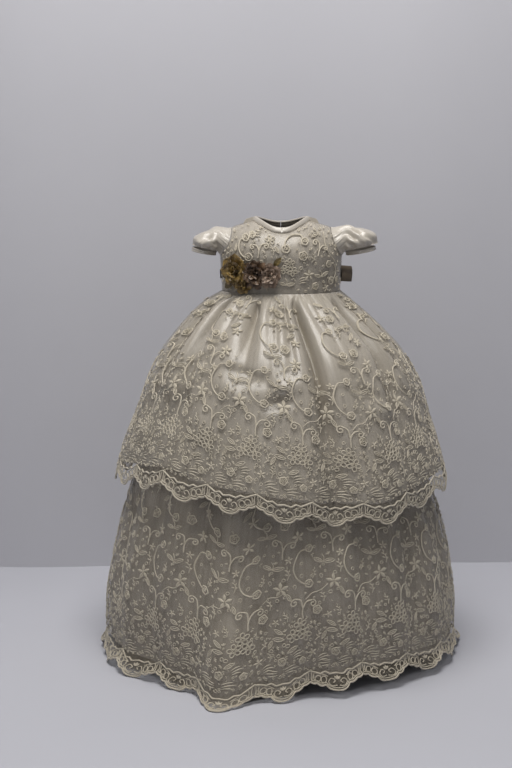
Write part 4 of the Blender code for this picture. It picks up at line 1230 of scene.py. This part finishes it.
def net_material(name, colour, cover, denser=0.0):
    """Fine net: threads round open cells about a millimetre and a half across, in gathers
    that lie closer here and there, and the closer the lower on the skirt."""
    material, tree, skin = shader(name, colour, 0.75, sheen=0.20, specular=0.25)
    cloth_map = node(tree, "ShaderNodeUVMap", uv_map="cloth")
    cells = node(tree, "ShaderNodeTexVoronoi", {"Scale": 620.0, "Randomness": 0.35},
                 voronoi_dimensions="2D", feature="DISTANCE_TO_EDGE")
    stretched = node(tree, "ShaderNodeMapping", {"Scale": (95.0, 5.0, 1.0)})
    gathers = node(tree, "ShaderNodeTexNoise", {"Scale": 1.0, "Detail": 3.0, "Roughness": 0.6})
    tones = node(tree, "ShaderNodeValToRGB")
    tones.color_ramp.elements[0].position, tones.color_ramp.elements[1].position = 0.35, 0.68
    tones.color_ramp.elements[0].color = (*(0.78 * c for c in colour), 1.0)
    tones.color_ramp.elements[1].color = (*(1.30 * c for c in colour), 1.0)
    apart_ = node(tree, "ShaderNodeSeparateXYZ")
    low = node(tree, "ShaderNodeMapRange",
        {"From Min": 0.02, "From Max": 0.30, "To Min": 1.0 + denser, "To Max": 1.0})
    closer = node(tree, "ShaderNodeMapRange",
        {"From Min": 0.35, "From Max": 0.68, "To Min": 1.35, "To Max": 0.75})
    both = node(tree, "ShaderNodeMath", operation="MULTIPLY")
    open_at = node(tree, "ShaderNodeMath", {1: 0.42 * cover, 2: 0.05}, operation="MULTIPLY_ADD")
    thread = node(tree, "ShaderNodeMapRange", {"From Min": 0.05, "To Min": 0.82, "To Max": 0.0})
    link = tree.links.new
    link(cloth_map.outputs["UV"], cells.inputs["Vector"])
    link(cloth_map.outputs["UV"], stretched.inputs["Vector"])
    link(stretched.outputs["Vector"], gathers.inputs["Vector"])
    link(gathers.outputs["Fac"], tones.inputs["Fac"])
    link(tones.outputs["Color"], skin.inputs["Base Color"])
    link(cloth_map.outputs["UV"], apart_.inputs["Vector"])
    link(apart_.outputs["Y"], low.inputs["Value"])
    link(gathers.outputs["Fac"], closer.inputs["Value"])
    link(low.outputs["Result"], both.inputs[0])
    link(closer.outputs["Result"], both.inputs[1])
    link(both.outputs["Value"], open_at.inputs[0])
    link(open_at.outputs["Value"], thread.inputs["From Max"])
    link(cells.outputs["Distance"], thread.inputs["Value"])
    link(thread.outputs["Result"], skin.inputs["Alpha"])
    return material


def plain_material(name, colour, other, rough, scale, bump_scale, bump, sheen=0.1, specular=0.5, coat=0.0):
    material, tree, skin = shader(name, colour, rough, sheen=sheen, specular=specular, coat=coat)
    place = mottled(tree, skin, colour, other, scale)
    bumped(tree, skin, place, bump_scale, bump, 0.0010)
    return material


SATIN = (0.50, 0.46, 0.40)
NET = (0.36, 0.32, 0.26)
CORD_COLOUR = (0.60, 0.54, 0.43)
RIBBON = (0.115, 0.090, 0.066)

satin = satin_material("ivory satin", False)
# The upper tier's satin carries painted shade in its pleats.
satin_with_painted_pleat_shade = satin_material("ivory satin of the upper tier with painted pleat shade", True)
upper_net = net_material("net of the upper tier", NET, 0.16, 0.8)
# The flounce's net is the upper tier's lace painted darker, (0.31, 0.27, 0.21) against (0.36, 0.32, 0.26):
# painted shade on the lower tier.
lower_net_painted_shade = net_material("net of the flounce with painted shade", (0.31, 0.27, 0.21), 0.34)
bodice_net = net_material("net of the bodice", NET, 0.20)
thread = thread_material("champagne cord", CORD_COLOUR)
ribbon_cloth = plain_material("taupe ribbon", RIBBON, (0.090, 0.070, 0.050), 0.36, 40.0, 260.0, 0.3, 0.1, 0.5)
gold = plain_material("gold petals", (0.43, 0.285, 0.085), (0.085, 0.052, 0.018), 0.32, 110.0, 420.0, 0.6,
    0.1, 0.7)
brown = plain_material("brown petals", (0.210, 0.130, 0.075), (0.060, 0.036, 0.022), 0.40, 110.0, 420.0,
    0.6, 0.1, 0.6)
taupe = plain_material("taupe petals", (0.42, 0.31, 0.23), (0.17, 0.115, 0.082), 0.42, 110.0, 420.0, 0.6,
    0.1, 0.6)
blush = plain_material("blush petals", (0.50, 0.38, 0.30), (0.33, 0.235, 0.18), 0.42, 85.0, 420.0, 0.5, 0.1,
    0.5)
olive = plain_material("olive leaves", (0.20, 0.145, 0.045), (0.085, 0.060, 0.020), 0.40, 70.0, 420.0, 0.6,
    0.1, 0.6)
pearl = plain_material("pearl", (0.66, 0.61, 0.54), (0.60, 0.55, 0.49), 0.22, 120.0, 300.0, 0.05, 0.0, 0.6,
    0.3)


# ---- making pieces -------------------------------------------------------------
def as_object(name, points, quads, material, uvs=None):
    mesh = bpy.data.meshes.new(name)
    points = (np.asarray(points, float).reshape(-1, 3) + AXIS).astype(np.float32)
    quads = np.asarray(quads, np.int32)
    mesh.vertices.add(len(points))
    mesh.vertices.foreach_set("co", points.ravel())
    mesh.loops.add(quads.size)
    mesh.loops.foreach_set("vertex_index", quads.ravel())
    mesh.polygons.add(len(quads))
    mesh.polygons.foreach_set("loop_start", np.arange(0, quads.size, 4, dtype=np.int32))
    mesh.update(calc_edges=True)
    mesh.validate()
    mesh.polygons.foreach_set("use_smooth", np.ones(len(mesh.polygons), bool))
    if uvs is not None:
        layer = mesh.uv_layers.new(name="cloth")
        loops = np.empty(len(mesh.loops), np.int32)
        mesh.loops.foreach_get("vertex_index", loops)
        layer.data.foreach_set("uv", np.asarray(uvs, np.float32).reshape(-1, 2)[loops].ravel())
    mesh.materials.append(material)
    piece = bpy.data.objects.new(name, mesh)
    bpy.context.scene.collection.objects.link(piece)
    return piece


def grid_quads(rows, columns, closed, start=0):
    r, c = np.meshgrid(np.arange(rows - 1), np.arange(columns if closed else columns - 1), indexing="ij")
    n = (c + 1) % columns
    return np.stack((r * columns + c, (r + 1) * columns + c, (r + 1) * columns + n, r * columns + n),
        axis=2).reshape(-1, 4) + start


def cloth(name, grid, closed, material, uvs=None, outward=True):
    quads = grid_quads(grid.shape[0], grid.shape[1], closed)
    return as_object(name, grid, quads if outward else quads[:, ::-1], material, uvs)


def joined(name, grids, material, outward=True):
    points, quads, start = [], [], 0
    for grid in grids:
        points.append(grid.reshape(-1, 3))
        quads.append(grid_quads(grid.shape[0], grid.shape[1], False, start))
        start += grid.shape[0] * grid.shape[1]
    quads = np.vstack(quads)
    return as_object(name, np.vstack(points), quads if outward else quads[:, ::-1], material)


def declared(piece, node_names, with_pieces=()):
    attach(piece, "root")
    if node_names:
        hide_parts(*node_names)
    for extra in with_pieces:
        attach(extra, "root")


def needle_piece(name, work):
    return as_object(name, np.vstack(work.points), np.vstack(work.quads), thread)


# ---- skirts ------------------------------------------------------------------
GROUND = small_figures(DENSE + SPARSE, REPEAT, ((37, 72, 32), (72, 128, 30), (128, 232, 22), (232, 350, 6)),
    8)


def skirt_place(surface, centre, across, up, tops):
    """Places a motif at so many mm across from a scallop's foot and up from it."""
    def place(flat):
        run = (up + flat[:, 1]) * 0.001
        middle = centre + across / REPEAT * 360 / SCALLOPS
        reach = surface.at(np.full(1, middle), np.full(1, max(up, 0) * 0.001))[0]
        per_degree = hypot(reach[0], reach[1]) * pi / 180 * 1000
        turn = middle + flat[:, 0] / per_degree
        inside = (run < np.interp(turn % 360, np.arange(TURNS) * 360 / TURNS,
            tops) - 0.004) & (run > edge_run(turn) - 0.001)
        return surface.at(turn, run, 0.0004 + flat[:, 2] * 0.001), inside
    return place


def border_place(surface, centre):
    def place(flat):
        turn = centre + flat[:, 0] / REPEAT * 360 / SCALLOPS
        return surface.at(turn, flat[:, 1] * 0.001, 0.0004 + flat[:, 2] * 0.001), None
    return place


def embroider(name, surface, tops, thin_from):
    """The lace's figures, in two halves round the skirt: border, dense field, sparse top."""
    pieces = []
    for part, first in (("left", 0), ("right", SCALLOPS // 2)):
        work = Needlework()
        for k in range(first, first + SCALLOPS // 2):
            centre = 90.0 + k * 360 / SCALLOPS
            work.lay(("border", ()), 0, False, border_place(surface, centre))
            dice = random.Random(31 * k + len(name))
            for row in DENSE + SPARSE + tuple(GROUND):
                motif, settings, across, up, angle, flip = row
                if up > thin_from and (k + int(up)) % 2:
                    continue
                drift = dice.uniform(-1.5, 1.5)
                place = skirt_place(surface, centre, across + drift, up + drift * 0.6, tops)
                work.lay((motif, settings), angle + dice.uniform(-4, 4), bool(flip), place)
        pieces.append(needle_piece(name + "_" + part, work))
    return pieces


def upper_satin_grid():
    turn = np.arange(520) * 360 / 520
    hem = around(UPPER_HEM, turn, 1) + BORDER_DROP
    share = (np.linspace(0, 1, 84) ** 1.25)[:, None]
    z = mix(WAIST_Z - 0.0003, hem, share)
    grid = upper_at(turn, z, upper_satin_reach(turn, z))
    lowest = grid[-1]
    inner = []
    for inside, rise in ((0.0012, -0.0004), (0.0016, 0.0030), (0.0018, 0.0100)):
        inner.append(upper_at(turn, hem + rise, upper_satin_reach(turn, hem + max(rise, 0)) - inside))
    # Painted shade in the pleats: how far each point's colour darkens, most in the deepest creases, none below
    # about 0.36 m or on the turned hem rows.
    fold = np.clip(creases(turn, z, 0.80) / 0.016, 0, 1) ** 1.3 * 0.85
    fold = np.concatenate((fold * ease((z - 0.36) / 0.10), np.zeros((4, len(turn)))))
    rolled = lowest[None] * 0.5 + inner[0][None] * 0.5 + np.array((0, 0, -0.0004))
    return np.concatenate((grid, rolled, np.array(inner))), fold


def under_satin_grid():
    turn = np.arange(420) * 360 / 420
    hem = foot_height(turn) + 0.0008
    share = np.linspace(0, 1, 72)[:, None]
    z = mix(WAIST_Z - 0.0006, hem, share)
    grid = on_bearing(turn, under_reach(turn, z), z)
    inner = [on_bearing(turn, under_reach(turn, hem + rise) - inside, hem + rise)
             for inside, rise in ((0.0010, -0.0004), (0.0016, 0.0030), (0.0018, 0.0120))]
    return np.concatenate((grid, np.array(inner)))


def net_grid(surface, tops, columns, rows):
    turn = np.arange(columns) * 360 / columns
    low = edge_run(turn)
    top = np.interp(turn, np.arange(TURNS) * 360 / TURNS, tops)
    run = mix(top, low, np.linspace(0, 1, rows)[:, None] ** 1.1)
    uvs = np.stack(np.broadcast_arrays(turn * 0.0047, run), axis=2)
    return surface.at(np.broadcast_to(turn, run.shape), run), uvs


def make_skirts():
    upper = upper_surface()
    turn = np.arange(TURNS) * 360 / TURNS
    z, length = tier_lengths()
    upper_tops = length[-1] - np.interp(around(UPPER_HEM, turn, 1), z, length)
    lower, lower_tops = flounce_surface()

    grid, folds = upper_satin_grid()
    piece = cloth("upper_tier_satin", grid, True, satin_with_painted_pleat_shade)
    # The fold attribute holds the painted pleat shade for the satin's material.
    layer = piece.data.attributes.new("fold", "FLOAT", "POINT")
    layer.data.foreach_set("value", folds.astype(np.float32).ravel())
    declared(piece, ["tier_upper_satin"])

    grid, uvs = net_grid(upper, upper_tops, *NET_GRID)
    net = cloth("upper_tier_net", grid, True, upper_net, uvs)
    figures = embroider("upper_tier_embroidery", upper, upper_tops, 228)
    declared(net, ["tier_upper_lace"],
        with_pieces=figures)

    piece = cloth("under_skirt_satin", under_satin_grid(), True, satin)
    declared(piece, ["skirt_satin"])

    grid, uvs = net_grid(lower, lower_tops, *NET_GRID)
    net = cloth("lower_tier_net", grid, True, lower_net_painted_shade, uvs)
    figures = embroider("lower_tier_embroidery", lower, lower_tops, 330)
    declared(net, ["tier_lower_lace"],
        with_pieces=figures)


# ---- bodice, sleeves and trimmings ---------------------------------------------
def panel_uvs(grid):
    return np.stack((np.degrees(np.arctan2(grid[..., 1], grid[..., 0])) * 0.00155, grid[..., 2]), axis=2)


def make_bodice():
    for name, grid_at, flat in (
        ("front", front_panel, (0.30, 0.135)),
        ("back_left", lambda lift, wobble=0.0: back_panel(-1, lift, wobble), (0.155, 0.135)),
        ("back_right", lambda lift, wobble=0.0: back_panel(1, lift, wobble), (0.155, 0.135)),
    ):
        grid = grid_at(-0.0002, 0.0003)
        piece = cloth("bodice_" + name + "_satin", grid, False, satin)
        declared(piece, ["bodice_" + name])
        lace = grid_at(0.0014, 0.0004)
        net = cloth("bodice_" + name + "_net", lace, False, bodice_net, panel_uvs(lace))
        face = -1 if name == "front" else 1
        surface = bodice_lace_surface(face, 0.0021)
        sign = {"front": 0, "back_left": -1, "back_right": 1}[name]

        def keep(points, sign=sign):
            return points[:, 0] * sign > 0.0015 if sign else np.full(len(points), True)

        work = Needlework()
        lay_bodice(work, surface, face, keep)
        figures = needle_piece("bodice_" + name + "_embroidery", work)
        declared(net, ["lace_" + name],
                 with_pieces=[figures])


def make_sleeves():
    for side, name in ((-1, "left"), (1, "right")):
        piece = cloth("sleeve_" + name + "_satin", sleeve_grid(side), True, satin, outward=side < 0)
        declared(piece, ["sleeve_" + name])
        band = cloth("sleeve_band_" + name + "_satin", band_grid(side), True, satin, outward=side < 0)
        declared(band, ["sleeve_band_" + name])


def make_trimmings():
    piece = cloth("neck_binding_satin", binding_grid(), False, satin)
    declared(piece, ["neck_binding"])
    for side, name in ((-1, "left"), (1, "right")):
        sash = cloth("sash_" + name + "_ribbon", sash_grid(side), False, ribbon_cloth)
        declared(sash, ["sash_" + name])
        loop = cloth("bow_loop_" + name + "_ribbon", loop_grid(side), True, ribbon_cloth, outward=side < 0)
        declared(loop, ["bow_loop_" + name])
        tail = cloth("bow_tail_" + name + "_ribbon", tail_grid(0 if side < 0 else 1), False, ribbon_cloth)
        declared(tail, ["bow_tail_" + name])
    knot = cloth("bow_knot_ribbon", knot_grid(), True, ribbon_cloth)
    declared(knot, ["bow_knot"])

    for k in range(4):
        z = mix(BACK_NECK_Z - 0.008, CHEST_Z - 0.003, k / 3)
        base = bodice_point(1, 1, 86.0, level(z, 86.0))
        up = (bodice_point(1, 1, 86.0, level(z + 0.001, 86.0)) - bodice_point(1, 1, 86.0,
            level(z - 0.001, 86.0))).normalized()
        out = Vector((0, up.z, -up.y))
        turn = np.arange(24) / 24 * 2 * pi
        rows = []
        for share in np.linspace(0.02, 1, 12):
            angle = share * pi
            rows.append(np.stack((0.0042 * sin(angle) ** 0.8 * np.cos(turn),
                0.0042 * sin(angle) ** 0.8 * np.sin(turn),
                                  np.full(24, 0.0019 * cos(angle))), axis=1))
        matrix = np.array(out.to_track_quat("Z", "Y").to_matrix())
        grid = np.array(rows) @ matrix.T + np.array(tuple(base + out * 0.0035))
        button = cloth("button_%d_pearl" % (k + 1), grid, True, pearl)
        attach(button, "root")
        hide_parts("button_%d" % (k + 1))


ROSES = (
    ("rose_gold", -0.0690, 0.6365, 0.0235,
        ((9, 1.04, 16, 0.0), (9, 0.88, 36, 0.10), (8, 0.68, 56, 0.18), (6, 0.46, 74, 0.24)), "gold_petals",
        gold, 11),
    ("rose_gold_small", -0.0590, 0.6160, 0.0150,
        ((7, 1.0, 16, 0.0), (7, 0.8, 40, 0.14), (5, 0.55, 66, 0.24)), "gold_petals", gold, 5),
    ("rose_brown", -0.0405, 0.6330, 0.0215,
        ((9, 1.0, 14, 0.0), (8, 0.82, 38, 0.10), (7, 0.60, 58, 0.18), (5, 0.42, 74, 0.2)), "brown_petals",
        brown, 7),
    ("rose_taupe", -0.0185, 0.6300, 0.0185,
        ((8, 1.0, 14, 0.0), (7, 0.80, 38, 0.10), (6, 0.58, 62, 0.18), (4, 0.40, 76, 0.2)), "taupe_petals",
        taupe, 3),
)
LEAVES = (
    ("leaf_1", -0.0730, 0.6210, 214.0, 0.025, 0.0060, olive),
    ("leaf_2", -0.0450, 0.6230, 250.0, 0.018, 0.0045, gold),
    ("leaf_3", -0.0230, 0.6210, 330.0, 0.017, 0.0062, blush),
    ("leaf_4", -0.0130, 0.6440, 50.0, 0.019, 0.0046, olive),
)


def make_corsage():
    for name, x, z, radius, layers, slot, colour, seed in ROSES:
        grids = rose_grids(x, z, radius, layers, seed)
        piece = joined(name + "_petals", grids, colour)
        declared(piece, [name])
    for name, x, z, heading, length, width, colour in LEAVES:
        piece = joined(name + "_ribbon", [leaf_grid(x, z, heading, length, width, 0.0034)], colour)
        declared(piece, [name])


make_skirts()
make_bodice()
make_sleeves()
make_trimmings()
make_corsage()


# ---- stage ---------------------------------------------------------------------
def stage_cloth(name, grid, colour, other):
    """Cloth of the stage, seen from its front and clear from behind."""
    material = plain_material(name, colour, other, 0.9, 1.2, 60.0, 0.05, 0.0, 0.2)
    tree = material.node_tree
    side = node(tree, "ShaderNodeNewGeometry")
    seen = node(tree, "ShaderNodeMath", {0: 1.0}, operation="SUBTRACT")
    tree.links.new(side.outputs["Backfacing"], seen.inputs[1])
    tree.links.new(seen.outputs["Value"], tree.nodes["Principled BSDF"].inputs["Alpha"])
    as_object(name, grid - AXIS, grid_quads(grid.shape[0], grid.shape[1], False), material)


def make_stage():
    x = np.linspace(-3.0, 3.0, 121)
    y = np.linspace(-2.6, 3.4, 120)
    fx, fy = np.meshgrid(x, y)
    stage_cloth("table cover", np.stack((fx, fy, np.zeros_like(fx)), axis=2)[::-1], (0.545, 0.55, 0.60),
        (0.53, 0.535, 0.585))
    z = np.linspace(3.0, -0.6, 90)
    wx, wz = np.meshgrid(x, z)
    sway = 0.018 * np.sin(3.1 * wx + 0.4) + 0.010 * np.sin(7.3 * wx + 1.2 + 0.3 * wz) + 0.004 * np.sin(15 * wx)
    stage_cloth("back cloth", np.stack((wx, 0.49 + sway, wz), axis=2), (0.56, 0.56, 0.60), (0.54, 0.54, 0.58))


def area_light(name, spot, target, size, power, colour):
    light = bpy.data.lights.new(name, "AREA")
    light.shape, light.size, light.energy, light.color = "SQUARE", size, power, colour
    lamp = bpy.data.objects.new(name, light)
    bpy.context.scene.collection.objects.link(lamp)
    lamp.location = spot
    lamp.rotation_mode = "QUATERNION"
    lamp.rotation_quaternion = (Vector(target) - Vector(spot)).to_track_quat("-Z", "Y")


def make_lights():
    world = bpy.data.worlds.new("studio")
    bpy.context.scene.world = world
    world.use_nodes = True
    world.node_tree.nodes["Background"].inputs["Color"].default_value = (0.93, 0.95, 1.0, 1.0)
    world.node_tree.nodes["Background"].inputs["Strength"].default_value = 0.13
    area_light("overhead", (-0.10, -0.68, 2.50), (0.0, 0.0, 0.3), 1.35, 50.0, (1.0, 0.98, 0.95))
    area_light("front fill", (-0.7, -2.5, 1.5), (0.0, 0.0, 0.5), 1.6, 3.0, (1.0, 0.98, 0.96))
    area_light("back fill", (0.5, 2.6, 1.7), (0.0, 0.0, 0.4), 1.6, 7.0, (1.0, 0.98, 0.96))
    view = bpy.context.scene.view_settings
    view.view_transform = "Standard"
    view.look = "None"
    view.exposure = 0.0


def make_camera():
    data = bpy.data.cameras.new("camera")
    data.sensor_width, data.sensor_fit = 36.0, "AUTO"
    data.lens = 65.8
    data.clip_start, data.clip_end = 0.05, 50.0
    camera = bpy.data.objects.new("camera", data)
    bpy.context.scene.collection.objects.link(camera)
    camera.location = (-0.039, -2.283, 0.80)
    camera.rotation_euler = (radians(90 - 8.8), 0.0, 0.0)
    bpy.context.scene.camera = camera


make_stage()
make_lights()
make_camera()
